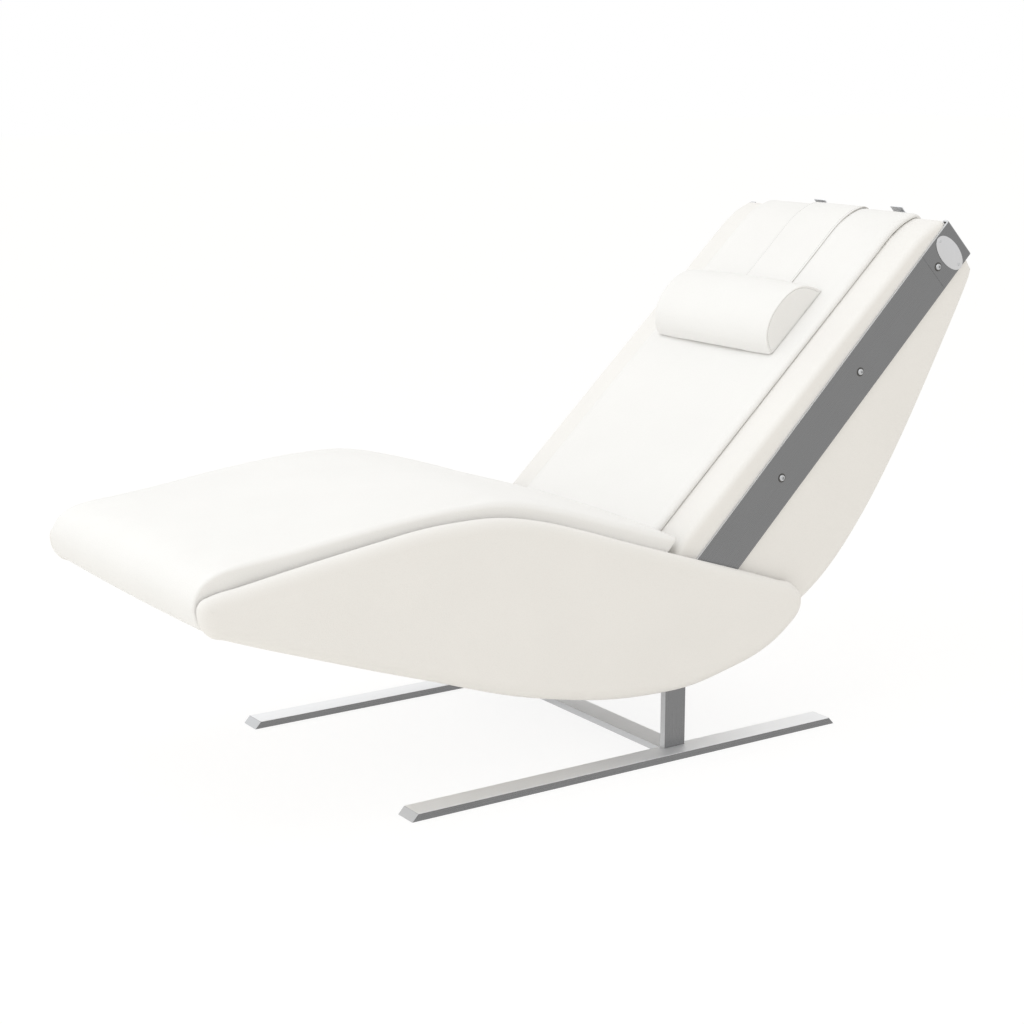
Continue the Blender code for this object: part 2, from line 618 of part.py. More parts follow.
# Head bracket: a bent bar that joins the two arms, lower between them for the upholstery
joint = ARM_LENGTH - BRACKET_LENGTH
bend_x = ARM_LENGTH - BRACKET_BEND
bend_y = ARM_OUTER - BRACKET_BEND
inner_bend = BRACKET_BEND - ARM_THICK
bracket_outline = ([(joint + GAP, -ARM_OUTER)] + arc(bend_x, -bend_y, BRACKET_BEND, 270, 360, 5)
                   + arc(bend_x, bend_y, BRACKET_BEND, 0, 90, 5)
                   + [(joint + GAP, ARM_OUTER), (joint + GAP, ARM_INNER)]
                   + arc(bend_x, bend_y, inner_bend, 90, 0, 4) + arc(bend_x, -bend_y, inner_bend, 0, -90, 4)
                   + [(joint + GAP, -ARM_INNER)])
bracket = finished("head_bracket", plate([bracket_outline], -ARM_WIDTH / 2, ARM_WIDTH / 2, PLAN_VIEW),
                   DARK_STEEL, arms)
relief_half = ARM_OUTER - BRACKET_RELIEF
cut(bracket, plate([box(bend_x - BRACKET_BEND, ARM_LENGTH + CUT_PAST, ARM_WIDTH / 2 - BRACKET_RELIEF,
                        ARM_WIDTH / 2 + CUT_PAST)], -relief_half, relief_half))

# Shell of the back: a hollow upholstered leaf, open at its lower end
shell_rear = [(0.072, -0.040), (0.098, -0.154), (0.175, -0.237), (0.317, -0.270), (0.485, -0.259),
              (0.694, -0.2115), (0.966, -0.125)]
shell_foot = [(0.100, SHELL_TOP), (0.082, 0.106), (0.072, 0.085)]
shell_head = from_head([(0.032, -0.077), (0.015, -0.056), (0.0105, 0.000), (0.0085, 0.060),
                        (0.009, 0.080), (0.013, 0.0900), (0.024, 0.0955), (0.055, 0.1055),
                        (0.100, SHELL_TOP)])
shell_outline = soft_path(shell_foot + shell_rear + shell_head)
room_outline = [shell_foot[0]] + soft_path(shell_rear) + [shell_head[0], shell_head[4], shell_head[-1]]
shell = finished("back_shell", plate([shell_outline], -SHELL_HALF, SHELL_HALF, edge=SHELL_EDGE),
                 LEATHER_SIDE, back)
cut(shell, plate([room_outline], -ROOM_HALF, ROOM_HALF, shrink=SHELL_WALL))
cut(shell, plate([box(*SHELL_MOUTH)], -ROOM_HALF + MOUTH_STEP, ROOM_HALF - MOUTH_STEP))

# Tie bars across the inside of the shell, tapped at both ends for the arm screws
shank, head, height = ARM_SCREW
tie_tap = shank + BOLT_FIT
tie_half = ROOM_HALF - GAP
tie_deep = tie_half - ARM_SCREW_DEPTH - TAP_SPARE
for level, along in ARM_SCREW_PLACES.items():
    tie = turned("back_tie_" + level,
                 [(0, tie_deep), (tie_tap, tie_deep), (tie_tap, tie_half), (TIE_RADIUS, tie_half),
                  (TIE_RADIUS, -tie_half), (tie_tap, -tie_half), (tie_tap, -tie_deep), (0, -tie_deep)],
                 BRUSHED_STEEL, arms, 16)
    tie.location = (along, 0, 0)
    tie.rotation_euler = (math.radians(90), 0, 0)

# Arms: flat bars down both sides of the back, round at the pivot, with their screws
arm_outline = arc(0, 0, ARM_WIDTH / 2, 90, 270, 16) + [(joint, -ARM_WIDTH / 2), (joint, ARM_WIDTH / 2)]
seat_of_bolt = ARM_THICK / 2
bolt_foot = ARM_THICK + SHAFT_BOLT_DEPTH
screw_foot = ARM_THICK + SHELL_WALL + ARM_SCREW_DEPTH
screw_end = ARM_OUTER - screw_foot - TAP_SPARE
for name, side in SIDES.items():
    arm = finished("back_arm_" + name, plate([arm_outline], *span_of(side, ARM_INNER, ARM_OUTER)),
                   DARK_STEEL, arms)
    outside = side * (ARM_OUTER + CUT_PAST)
    cut_round(arm, bolt_shank + BOLT_FIT, (0, outside, 0), (0, side * (ARM_INNER - CUT_PAST), 0))
    cut_round(arm, bolt_head + BOLT_FIT, (0, outside, 0), (0, side * (ARM_OUTER - seat_of_bolt), 0))
    bolt = turned("shaft_bolt_" + name,
                  [(0, -GAP), (bolt_head, -GAP), (bolt_head, GAP - seat_of_bolt),
                   (bolt_shank, GAP - seat_of_bolt), (bolt_shank, -bolt_foot), (0, -bolt_foot)],
                  SCREW_STEEL, arms, 16)
    along_y(bolt, 0, side * ARM_OUTER, 0, side)
    for level, along in ARM_SCREW_PLACES.items():
        holder = arm if along < joint else bracket
        outer_end = Vector((along, outside, 0))
        inner_end = Vector((along, side * screw_end, 0))
        cut_round(holder, shank + BOLT_FIT, outer_end, inner_end)
        cut_round(shell, shank + BOLT_FIT, lean @ outer_end, lean @ inner_end)
        screw = turned("arm_screw_%s_%s" % (name, level),
                       [(0, height), (head * 0.45, height * 0.94), (head * 0.8, height * 0.62), (head, GAP),
                        (shank, GAP), (shank, -screw_foot), (0, -screw_foot)], SCREW_STEEL, arms, 16)
        along_y(screw, along, side * ARM_OUTER, 0, side)

    # Hook behind the head bracket
    face = ARM_LENGTH + GAP
    tip = face + HOOK_REACH
    hook_outline = [(face, -HOOK_FOOT), (face + HOOK_THICK, -HOOK_FOOT), (face + HOOK_THICK, 0), (tip, 0),
                    (tip, HOOK_LIP), (tip - HOOK_THICK, HOOK_LIP), (tip - HOOK_THICK, HOOK_THICK),
                    (face, HOOK_THICK)]
    hook_mid = side * HOOK_Y
    finished("head_hook_" + name,
             plate([hook_outline], hook_mid - HOOK_WIDTH / 2, hook_mid + HOOK_WIDTH / 2),
             BRUSHED_STEEL, arms)

# Cushion of the back: a thin pad along the shell's upper face, rounding over the head end
cushion_knots = [(BACK_CUSHION_START, SHELL_TOP), (0.300, SHELL_TOP), (0.650, SHELL_TOP)]
cushion_knots += from_head([(0.190, SHELL_TOP), (0.100, SHELL_TOP + 0.0005), (0.055, SHELL_TOP - 0.0055),
                            (0.024, SHELL_TOP - 0.0155), (0.008, SHELL_TOP - 0.0235)])
cushion_path = soft_path(cushion_knots, 3)
cushion_sections = []
for i, (x, z) in enumerate(cushion_path):
    run = heading(cushion_path, i)
    last = i in (0, len(cushion_path) - 1)
    narrow = BACK_END_NARROW if last else 0.0
    thin = BACK_END_THIN if last else 1.0
    section = pad_section(BACK_CUSHION_HALF - narrow, BACK_CUSHION_THICK * thin, BACK_CUSHION_CROWN,
                          BACK_CUSHION_EDGE)
    cushion_sections.append([(x - run.y * (h + GAP), y, z + run.x * (h + GAP)) for y, h in section])
lofted("back_cushion", cushion_sections, LEATHER, back)

# Strap: lies on the cushion under the pillow and goes over the head end
strap_low = CUSHION_TOP + GAP
strap_knots = [(PILLOW_FOOT + STRAP_TUCK, strap_low)]
strap_knots += from_head([(0.230, strap_low), (0.100, strap_low + 0.001), (0.049, strap_low - 0.004),
                          (0.016, strap_low - 0.014), (0.0015, strap_low - 0.0225),
                          (-0.0045, strap_low - 0.034), (-0.0045, strap_low - 0.045),
                          (-0.0025, strap_low - 0.064), (-0.0008, strap_low - 0.088),
                          (-0.0008, strap_low - 0.112)])
strap_line = soft_path(strap_knots, 3)
strap_outer = []
for i, (x, z) in enumerate(strap_line):
    run = heading(strap_line, i)
    strap_outer.append((x - run.y * STRAP_THICK, z + run.x * STRAP_THICK))
finished("pillow_strap", plate([strap_line + strap_outer[::-1]], -STRAP_HALF, STRAP_HALF), LEATHER, back)

# Neck pillow: a half-round bolster, fuller in the middle than at its ends.
# Its outline is a share of the depth and a share of the height.
pillow = axis_empty("pillow_slide", PILLOW_FOOT, strap_low + STRAP_THICK + GAP)
pillow.parent = back
pillow_knots = [(0.00, 0.09), (0.03, 0.39), (0.13, 0.76), (0.29, 0.96), (0.45, 1.00), (0.63, 0.91),
                (0.80, 0.67), (0.92, 0.33), (1.00, 0.06), (0.965, 0.00), (0.50, 0.00), (0.04, 0.00)]
pillow_outline = soft_path(pillow_knots + pillow_knots[:1], 2)[:-1]
pillow_sections = []
for i in range(PILLOW_SECTIONS):
    turn = math.radians(-90 + 180 * i / (PILLOW_SECTIONS - 1))
    full = PILLOW_END_SIZE + (1 - PILLOW_END_SIZE) * math.cos(turn)
    pillow_sections.append([((0.5 + (a - 0.5) * full) * PILLOW_DEPTH, PILLOW_HALF * math.sin(turn),
                             max(b, 0.0) * full * PILLOW_HEIGHT) for a, b in pillow_outline])
lofted("neck_pillow", pillow_sections, LEATHER, pillow)
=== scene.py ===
import math

import bmesh
import bpy
from mathutils import Matrix, Vector


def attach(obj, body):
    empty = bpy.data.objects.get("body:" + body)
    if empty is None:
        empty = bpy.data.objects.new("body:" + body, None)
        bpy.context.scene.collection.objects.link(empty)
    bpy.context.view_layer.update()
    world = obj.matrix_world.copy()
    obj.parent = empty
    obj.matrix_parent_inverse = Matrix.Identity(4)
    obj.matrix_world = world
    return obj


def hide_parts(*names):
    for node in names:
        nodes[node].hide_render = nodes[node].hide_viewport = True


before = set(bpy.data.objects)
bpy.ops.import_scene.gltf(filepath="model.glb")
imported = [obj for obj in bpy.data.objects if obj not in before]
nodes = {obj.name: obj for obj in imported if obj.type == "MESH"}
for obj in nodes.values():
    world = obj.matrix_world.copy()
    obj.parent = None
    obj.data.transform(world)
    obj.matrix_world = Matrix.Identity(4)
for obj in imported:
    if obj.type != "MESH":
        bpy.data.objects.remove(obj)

scene = bpy.context.scene
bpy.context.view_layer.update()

# Skids, cross bar and posts
# Flat stainless bar, sawn to length and welded up. Its sides are brushed satin along the
# length and its edges filed. The steel's colour is a dark, shaded copy on the sides and a lit
# copy, several times lighter, on the upper faces, the skids' slanted ends and the front faces
# of the cross bar and posts: painted shade and painted light for light from above and from
# the foot end.
BAR_SHADED_COLOUR = (0.215, 0.216, 0.218, 1.0)
BAR_THICK = 0.016
BAR_EDGE = 0.0009
SKID_FOOT = -0.553
SKID_HEAD = 0.597
SKID_SLANT = 0.0145
POST_FRONT = 0.1285
BRUSH_STROKE = (0.16, 0.0011, 0.0011)
BRUSH_RELIEF = 0.0004
PAINTED_LIGHT_DEPTH = (0.0008, 0.0002)
PAINTED_LIGHT_HAZE = 0.30
UPPER_PAINTED_LIGHT, END_PAINTED_LIGHT, BAR_FRONT_PAINTED_LIGHT, POST_FRONT_PAINTED_LIGHT = 4.2, 2.9, 3.0, 2.9
EDGE_ANGLE = math.radians(40)
WELD_GAP = 0.00002


class Wire:
    """A socket of a finish. Arithmetic on it adds Math nodes to the same finish."""

    def __init__(self, socket):
        self.socket = socket

    def node(self, kind, settings, inputs, output=0):
        """Adds a node: its type, its settings, then the values or wires of its sockets."""
        tree = self.socket.id_data
        added = tree.nodes.new(kind)
        for setting, value in settings.items():
            setattr(added, setting, value)
        for name, value in inputs.items():
            if isinstance(value, Wire):
                tree.links.new(value.socket, added.inputs[name])
            else:
                added.inputs[name].default_value = value
        return Wire(added.outputs[output])

    def math(self, operation, first, second):
        return self.node("ShaderNodeMath", {"operation": operation}, {0: first, 1: second})

    def __add__(self, other):
        return self.math("ADD", self, other)

    def __radd__(self, other):
        return self.math("ADD", other, self)

    def __rsub__(self, other):
        return self.math("SUBTRACT", other, self)

    def __mul__(self, other):
        return self.math("MULTIPLY", self, other)

    def __rmul__(self, other):
        return self.math("MULTIPLY", other, self)


def begin_finish(name, constants):
    """A new material, its shader with constant sockets set, and the object's coordinates."""
    material = bpy.data.materials.new(name)
    material.use_nodes = True
    shader = material.node_tree.nodes["Principled BSDF"]
    for socket, value in constants.items():
        shader.inputs[socket].default_value = value
    places = material.node_tree.nodes.new("ShaderNodeTexCoord")
    return material, shader, Wire(places.outputs["Object"])


def connect(shader, wires):
    """Leads wires to the shader's sockets."""
    for name, wire in wires.items():
        shader.id_data.links.new(wire.socket, shader.inputs[name])


def speckle(place, size, detail=3.0):
    """Noise whose patches are about this many metres across."""
    return place.node("ShaderNodeTexNoise", {},
                      {"Vector": place, "Scale": 1 / size, "Detail": detail})


def tinted(factor, low, high):
    """A colour between two others."""
    return factor.node("ShaderNodeMix", {"data_type": "RGBA"}, {0: factor, 6: low, 7: high}, 2)


def shaded(colour, share):
    """A colour made darker or lighter by a share."""
    return tuple(c * share for c in colour[:3]) + (1.0,)


def brushed_steel(name, colour, along, rough=0.28, painted_light_faces=()):
    """Satin steel, brushed in one direction. Faces painted lighter as painted light: outwards, how
    far out, how bright.
    """
    material, shader, place = begin_finish(name, {"Metallic": 1.0})
    turn = Vector(along).to_track_quat("X", "Z").to_euler()
    strokes = place.node("ShaderNodeMapping", {"vector_type": "TEXTURE"},
                         {"Vector": place, "Rotation": turn, "Scale": BRUSH_STROKE})
    lines = strokes.node("ShaderNodeTexNoise", {},
                         {"Vector": strokes, "Scale": 1.0, "Detail": 5.0, "Roughness": 0.65})
    clouds = speckle(place, 0.09)
    tone = tinted(0.6 * lines + 0.4 * clouds, shaded(colour, 0.90), shaded(colour, 1.10))
    dull = rough - 0.09 + 0.12 * lines + 0.06 * clouds
    # Painted light: each given face is tinted towards the colour made lighter by its factor, and
    # made a little rougher.
    for outwards, level, bright in painted_light_faces:
        far = place.node("ShaderNodeVectorMath", {"operation": "DOT_PRODUCT"},
                         {0: place, 1: outwards}, 1)
        painted_light_share = far.node("ShaderNodeMapRange", {},
                         {"Value": far, "From Min": level - PAINTED_LIGHT_DEPTH[0],
                          "From Max": level - PAINTED_LIGHT_DEPTH[1]})
        lit_tone = tinted(lines, shaded(colour, 0.95 * bright), shaded(colour, 1.05 * bright))
        tone = tinted(painted_light_share, tone, lit_tone)
        dull = dull + PAINTED_LIGHT_HAZE * painted_light_share
    bump = place.node("ShaderNodeBump", {},
                      {"Strength": 0.035, "Distance": BRUSH_RELIEF, "Height": lines})
    connect(shader, {"Base Color": tone, "Roughness": dull, "Normal": bump})
    return material


def dress(names, material, edge=0.0):
    """Gives modelled pieces their finish, and breaks their sharp edges by a width."""
    for name in names:
        node = nodes[name]
        node.data.materials.clear()
        node.data.materials.append(material)
        if edge:
            weld = node.modifiers.new("weld", "WELD")
            weld.merge_threshold = WELD_GAP
            bevel = node.modifiers.new("broken_edge", "BEVEL")
            bevel.width = edge
            bevel.segments = 2
            bevel.limit_method = "ANGLE"
            bevel.angle_limit = EDGE_ANGLE
            bevel.harden_normals = True


# Painted light: these faces are made several times lighter than the sides, as if lit from above and
# from the foot end.
lit_upper_face = ((0, 0, 1), BAR_THICK, UPPER_PAINTED_LIGHT)
skid_lit_faces = [lit_upper_face]
for tip, side in ((SKID_FOOT, -1), (SKID_HEAD, 1)):
    outwards = Vector((side * BAR_THICK, 0, SKID_SLANT)).normalized()
    skid_lit_faces.append((outwards, outwards.x * tip, END_PAINTED_LIGHT))
skid_steel = brushed_steel("skid_steel", BAR_SHADED_COLOUR, (1, 0, 0), painted_light_faces=skid_lit_faces)
dress(["skid_left", "skid_right"], skid_steel, BAR_EDGE)
bar_lit_faces = [lit_upper_face, ((-1, 0, 0), -POST_FRONT, BAR_FRONT_PAINTED_LIGHT)]
bar_steel = brushed_steel("cross_bar_steel", BAR_SHADED_COLOUR, (0, 1, 0), painted_light_faces=bar_lit_faces)
dress(["cross_bar"], bar_steel, BAR_EDGE)
post_lit_faces = [((-1, 0, 0), -POST_FRONT, POST_FRONT_PAINTED_LIGHT)]
post_steel = brushed_steel("post_steel", BAR_SHADED_COLOUR, (0, 0, 1), painted_light_faces=post_lit_faces)
dress(["post_left", "post_right"], post_steel, BAR_EDGE)

# Turned screws, bolts, shaft and tie bars
# Bright zinc-plated steel, turned and then rolled. The plating shows faint
# rings and a slight cloudiness.
ZINC_COLOUR = (0.56, 0.565, 0.57, 1.0)
PLATING_CLOUD = 0.012
TURNING_MARK = 0.0012


def plated_steel(name, colour, rough):
    """Plated metal with faint clouds and fine turning marks."""
    material, shader, place = begin_finish(name, {"Metallic": 1.0})
    clouds = speckle(place, PLATING_CLOUD)
    marks = speckle(place, TURNING_MARK, 2.0)
    tone = tinted(clouds, shaded(colour, 0.82), shaded(colour, 1.12))
    bump = place.node("ShaderNodeBump", {},
                      {"Strength": 0.10, "Distance": 0.0003, "Height": marks})
    connect(shader, {"Base Color": tone, "Roughness": rough + 0.14 * clouds, "Normal": bump})
    return material


zinc = plated_steel("zinc_plate", ZINC_COLOUR, 0.20)
turned_parts = ("post_screw", "panel_bolt", "shaft_bolt", "back_tie")
dress([name for name in nodes if name.startswith(turned_parts)], zinc)
dress(["pivot_shaft", "gas_spring_rod", "rod_fork", "rod_pin"], zinc)

# Bushes in the posts and friction washers beside them
# The bushes are oil-filled bronze. The washers are punched from a dark fibre lining
# that holds the back where it is put.
BRONZE_COLOUR = (0.52, 0.35, 0.16, 1.0)
LINING_DARK = (0.045, 0.043, 0.042, 1.0)
LINING_PALE = (0.115, 0.11, 0.105, 1.0)
bronze = plated_steel("bush_bronze", BRONZE_COLOUR, 0.32)
dress(["post_bush_left", "post_bush_right"], bronze)
lining, lining_shader, lining_place = begin_finish("friction_fibre", {})
fibres = speckle(lining_place, 0.0016, 5.0)
connect(lining_shader, {"Base Color": tinted(fibres, LINING_DARK, LINING_PALE),
                        "Roughness": 0.68 + 0.2 * fibres})
dress(["friction_washer_left", "friction_washer_right"], lining)

# Lever, gas spring cylinder, clamps and cross tubes
# Steel parts inside the seat, powder coated black. The coating has a fine
# orange-peel skin and is a little greyer where it is thin.
PAINT_THICK = (0.017, 0.017, 0.019, 1.0)
PAINT_THIN = (0.034, 0.034, 0.036, 1.0)
PAINTED_EDGE = 0.0005
paint, paint_shader, paint_place = begin_finish("black_powder_coat", {"Coat Weight": 0.15})
peel = speckle(paint_place, 0.0022, 2.0)
dust = speckle(paint_place, 0.05)
connect(paint_shader, {
    "Base Color": tinted(dust, PAINT_THICK, PAINT_THIN),
    "Roughness": 0.33 + 0.2 * dust,
    "Normal": paint_place.node("ShaderNodeBump", {},
                               {"Strength": 0.2, "Distance": 0.0003, "Height": peel}),
})
dress(["slotted_lever", "gas_spring_cylinder", "spring_clamp_front", "spring_clamp_rear",
       "spring_tube_front", "spring_tube_rear"], paint, PAINTED_EDGE)

# Carcass of the seat: deck, ribs, nose rail and spacers
# Birch plywood, cut to outline, glued and primed white. The face veneer's long streaks
# of grain still show through the primer.
PRIMER_DARK = (0.60, 0.575, 0.54, 1.0)
PRIMER_PALE = (0.74, 0.725, 0.70, 1.0)
GRAIN_SCALE = (2.5, 60.0, 420.0)
BOARD_EDGE = 0.0006
wood, wood_shader, wood_place = begin_finish("primed_plywood", {})
fibre_place = wood_place.node("ShaderNodeMapping", {}, {"Vector": wood_place, "Scale": GRAIN_SCALE})
streaks = fibre_place.node("ShaderNodeTexNoise", {},
                           {"Vector": fibre_place, "Scale": 1.0, "Detail": 5.0, "Distortion": 0.6})
veneer = speckle(wood_place, 0.12)
connect(wood_shader, {
    "Base Color": tinted(0.7 * streaks + 0.3 * veneer, PRIMER_DARK, PRIMER_PALE),
    "Roughness": 0.55 + 0.2 * streaks,
    "Normal": wood_place.node("ShaderNodeBump", {},
                              {"Strength": 0.2, "Distance": 0.0004, "Height": streaks}),
})
dress(["seat_deck", "seat_rib_front", "seat_rib_rear", "nose_rail", "panel_spacer_left",
       "panel_spacer_right"], wood, BOARD_EDGE)

# Side panels of the seat
# Leaf-shaped boards with a thin layer of foam, covered in pale leather that is
# drawn tight over the rounded edge and fixed on the inside. They are bolted to the posts.
PIVOT = Vector((0.157, 0.0, 0.326))
PANEL_INNER = 0.362
PANEL_THICK = 0.0245
PANEL_ROUND = 0.028
PANEL_FLAT = 0.45
ROUND_SHARE = 0.999
# Painted shade: the sides' leather is the top leather made a little darker and warmer, standing in
# for the shade the sides get.
SHADED_SIDE_LEATHER = (0.850, 0.836, 0.812, 1.0)
PEBBLE = 0.0017
PORE = 0.0006
HIDE_DRIFT = 0.16
CREASE_WAVER = 0.0016
GRAIN_RELIEF = 0.0005
DARK_EDGE_DEPTH = (0.0007, 0.0004)
panel_outline = [(-1.167, 0.184), (-1.160, 0.2045), (-1.138, 0.2138), (-1.0757, 0.2235),
                 (-0.947, 0.2442), (-0.7686, 0.2704), (-0.6764, 0.2823), (-0.5821, 0.2868),
                 (-0.4855, 0.2832), (-0.3864, 0.2633), (-0.2844, 0.2318), (-0.1794, 0.1950),
                 (-0.0712, 0.1580), (0.257, 0.0468), (0.312, 0.025), (0.335, -0.014),
                 (0.296, -0.070), (0.091, -0.150), (-0.080, -0.1645), (-0.380, -0.1225),
                 (-0.675, -0.030), (-0.910, 0.0505), (-1.108, 0.1222), (-1.147, 0.1385)]


def leather(name, colour, pebble=PEBBLE, depth=0.35, dark_edges=None):
    """Pale pebbled leather with a soft sheen. Darker cut edges of a band: half width, colour."""
    material, shader, place = begin_finish(name, {"Specular IOR Level": 0.35, "Sheen Weight": 0.06})
    push = place.node("ShaderNodeTexNoise", {}, {"Vector": place, "Scale": 260.0, "Detail": 2.0}, 1)
    waver = place.node("ShaderNodeVectorMath", {"operation": "MULTIPLY_ADD"},
                       {0: push, 1: (CREASE_WAVER,) * 3, 2: place})
    pebbles = waver.node("ShaderNodeTexVoronoi", {"feature": "SMOOTH_F1"},
                         {"Vector": waver, "Scale": 1 / pebble, "Smoothness": 0.5})
    pores = speckle(place, PORE, 2.0)
    drift = speckle(place, HIDE_DRIFT)
    height = 0.8 * (1 - pebbles) + 0.2 * pores
    tone = tinted(0.55 * pebbles + 0.45 * drift, shaded(colour, 1.03), shaded(colour, 0.945))
    # The band's cut edges are coloured darker than its faces.
    if dark_edges:
        half, edge_colour = dark_edges
        across = place.node("ShaderNodeSeparateXYZ", {}, {"Vector": place}, 1)
        across = across.math("ABSOLUTE", across, 0.0)
        rim = across.node("ShaderNodeMapRange", {},
                          {"Value": across, "From Min": half - DARK_EDGE_DEPTH[0],
                           "From Max": half - DARK_EDGE_DEPTH[1]})
        tone = tinted(rim, tone, edge_colour)
    bump = place.node("ShaderNodeBump", {},
                      {"Strength": depth, "Distance": GRAIN_RELIEF, "Height": height})
    connect(shader, {"Base Color": tone, "Roughness": 0.40 + 0.14 * pebbles + 0.08 * drift,
                     "Normal": bump})
    return material


def outlined(name, outline, half_depth, edge, smooth=False, shrink=0.0):
    """Mesh of a board in the side view: a closed outline, rounded at its edge."""
    curve = bpy.data.curves.new(name, "CURVE")
    curve.dimensions = "2D"
    curve.fill_mode = "BOTH"
    curve.resolution_u = 16
    curve.extrude = half_depth - edge
    curve.bevel_depth = edge
    curve.bevel_resolution = 6
    curve.offset = -edge - shrink
    spline = curve.splines.new("BEZIER" if smooth else "POLY")
    spline.use_cyclic_u = True
    if smooth:
        spline.bezier_points.add(len(outline) - 1)
        for knot, (a, b) in zip(spline.bezier_points, outline):
            knot.co = (a, b, 0)
            knot.handle_left_type = "AUTO"
            knot.handle_right_type = "AUTO"
    else:
        spline.points.add(len(outline) - 1)
        for knot, (a, b) in zip(spline.points, outline):
            knot.co = (a, b, 0, 1)
    holder = bpy.data.objects.new(name, curve)
    scene.collection.objects.link(holder)
    shape = holder.evaluated_get(bpy.context.evaluated_depsgraph_get())
    mesh = bpy.data.meshes.new_from_object(shape)
    bpy.data.objects.remove(holder, do_unlink=True)
    bpy.data.curves.remove(curve)
    mesh.transform(Matrix(((1, 0, 0, 0), (0, 0, 1, 0), (0, 1, 0, 0), (0, 0, 0, 1))))
    return mesh


def piece_of(name, work, material, body, sharp=40.0):
    """A finished piece from a bmesh: welded, facing outwards, in its finish and on its body."""
    bmesh.ops.remove_doubles(work, verts=work.verts, dist=1e-6)
    bmesh.ops.recalc_face_normals(work, faces=work.faces)
    if work.calc_volume(signed=True) < 0:
        bmesh.ops.reverse_faces(work, faces=work.faces)
    mesh = bpy.data.meshes.new(name)
    work.to_mesh(mesh)
    work.free()
    mesh.shade_smooth()
    mesh.set_sharp_from_angle(angle=math.radians(sharp))
    mesh.materials.append(material)
    piece = bpy.data.objects.new(name, mesh)
    scene.collection.objects.link(piece)
    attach(piece, body)
    return piece


shaded_side_leather = leather("shaded_side_leather", SHADED_SIDE_LEATHER)
panel_depth = PANEL_THICK / (1 + PANEL_FLAT)
for name, side in (("left", -1), ("right", 1)):
    board = outlined("panel_outline", panel_outline, PANEL_ROUND, PANEL_ROUND * ROUND_SHARE,
                     smooth=True)
    board.transform(Matrix.Scale(panel_depth / PANEL_ROUND, 4, (0, 1, 0)))
    middle = Vector((0, side * (PANEL_INNER + PANEL_FLAT * panel_depth), 0))
    board.transform(Matrix.Translation(PIVOT + middle))
    work = bmesh.new()
    work.from_mesh(board)
    bmesh.ops.remove_doubles(work, verts=work.verts, dist=1e-6)
    sliced = bmesh.ops.bisect_plane(work, geom=work.verts[:] + work.edges[:] + work.faces[:],
                                    dist=1e-7, plane_co=(0, side * PANEL_INNER, 0),
                                    plane_no=(0, side, 0), clear_inner=True)
    cut = [e for e in sliced["geom_cut"] if isinstance(e, bmesh.types.BMEdge)]
    bmesh.ops.contextual_create(work, geom=cut)
    panel = piece_of("seat_side_" + name, work, shaded_side_leather, "base")
    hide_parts("side_panel_" + name)

# Under panel
# A thin board across the bottom of the seat, covered in the same leather.
dress(["under_panel"], shaded_side_leather, BOARD_EDGE)

# Seat cushion
# One long pad of foam under a single tight leather cover. It runs from the back over
# the knees, rolls round the nose and is fixed under it.
BACK_ANGLE = math.radians(43.0)
SEAT_HALF = 0.3545
NOSE_WIDER = 0.006
SEAT_EDGE = 0.013
SEAT_TUCK = 0.006
SEAT_CROWN = 0.008
SEAT_REAR_ROUND = 0.008
SEAT_FRONT_ROUND = 0.004
SEAT_LEAN = 0.040
SEAT_FIXED = 0.015
SEAT_SWELL = 0.003
SEAT_STEP = 0.009
SEAT_ACROSS, PAD_UNDER = 44, 12
FILL_FRAMES = 20
ALL_SMOOTH = 180.0
NOSE_FROM, NOSE_RUN, NOSE_SHARPER = -1.02, 0.09, 0.45
TOP_LEATHER = (0.852, 0.846, 0.832, 1.0)
seat_knots = [(-0.004, 0.173, 0.052), (-0.042, 0.1857, 0.060), (-0.180, 0.229, 0.062),
              (-0.313, 0.273, 0.062), (-0.442, 0.306, 0.062), (-0.553, 0.3144, 0.062),
              (-0.723, 0.303, 0.062), (-0.939, 0.277, 0.064), (-1.043, 0.2655, 0.066),
              (-1.110, 0.255, 0.060), (-1.149, 0.237, 0.045), (-1.171, 0.207, 0.033),
              (-1.1725, 0.176, 0.026), (-1.160, 0.147, 0.019), (-1.125, 0.1315, 0.013)]


def soft_path(knots, step):
    """Points about a step apart along a smooth line through the knots."""
    ends = [knots[0]] + list(knots) + [knots[-1]]
    path = []
    for a, b, c, d in zip(ends, ends[1:], ends[2:], ends[3:]):
        count = max(2, round(math.dist(b[:2], c[:2]) / step))
        for i in range(count):
            t = i / count
            weights = ((-t + 2 * t * t - t ** 3) / 2, (2 - 5 * t * t + 3 * t ** 3) / 2,
                       (t + 4 * t * t - 3 * t ** 3) / 2, (t ** 3 - t * t) / 2)
            path.append(tuple(sum(w * p[k] for w, p in zip(weights, (a, b, c, d)))
                              for k in range(len(b))))
    return path + [tuple(knots[-1])]


def travelled(path):
    """Distance along a path to each of its points."""
    sums = [0.0]
    for a, b in zip(path, path[1:]):
        sums.append(sums[-1] + math.dist(a[:2], b[:2]))
    return sums


def heading(path, i):
    """Direction of a path at one of its points, in its first two numbers."""
    ahead, behind = path[min(i + 1, len(path) - 1)], path[max(i - 1, 0)]
    return Vector((ahead[0] - behind[0], ahead[1] - behind[1])).normalized()


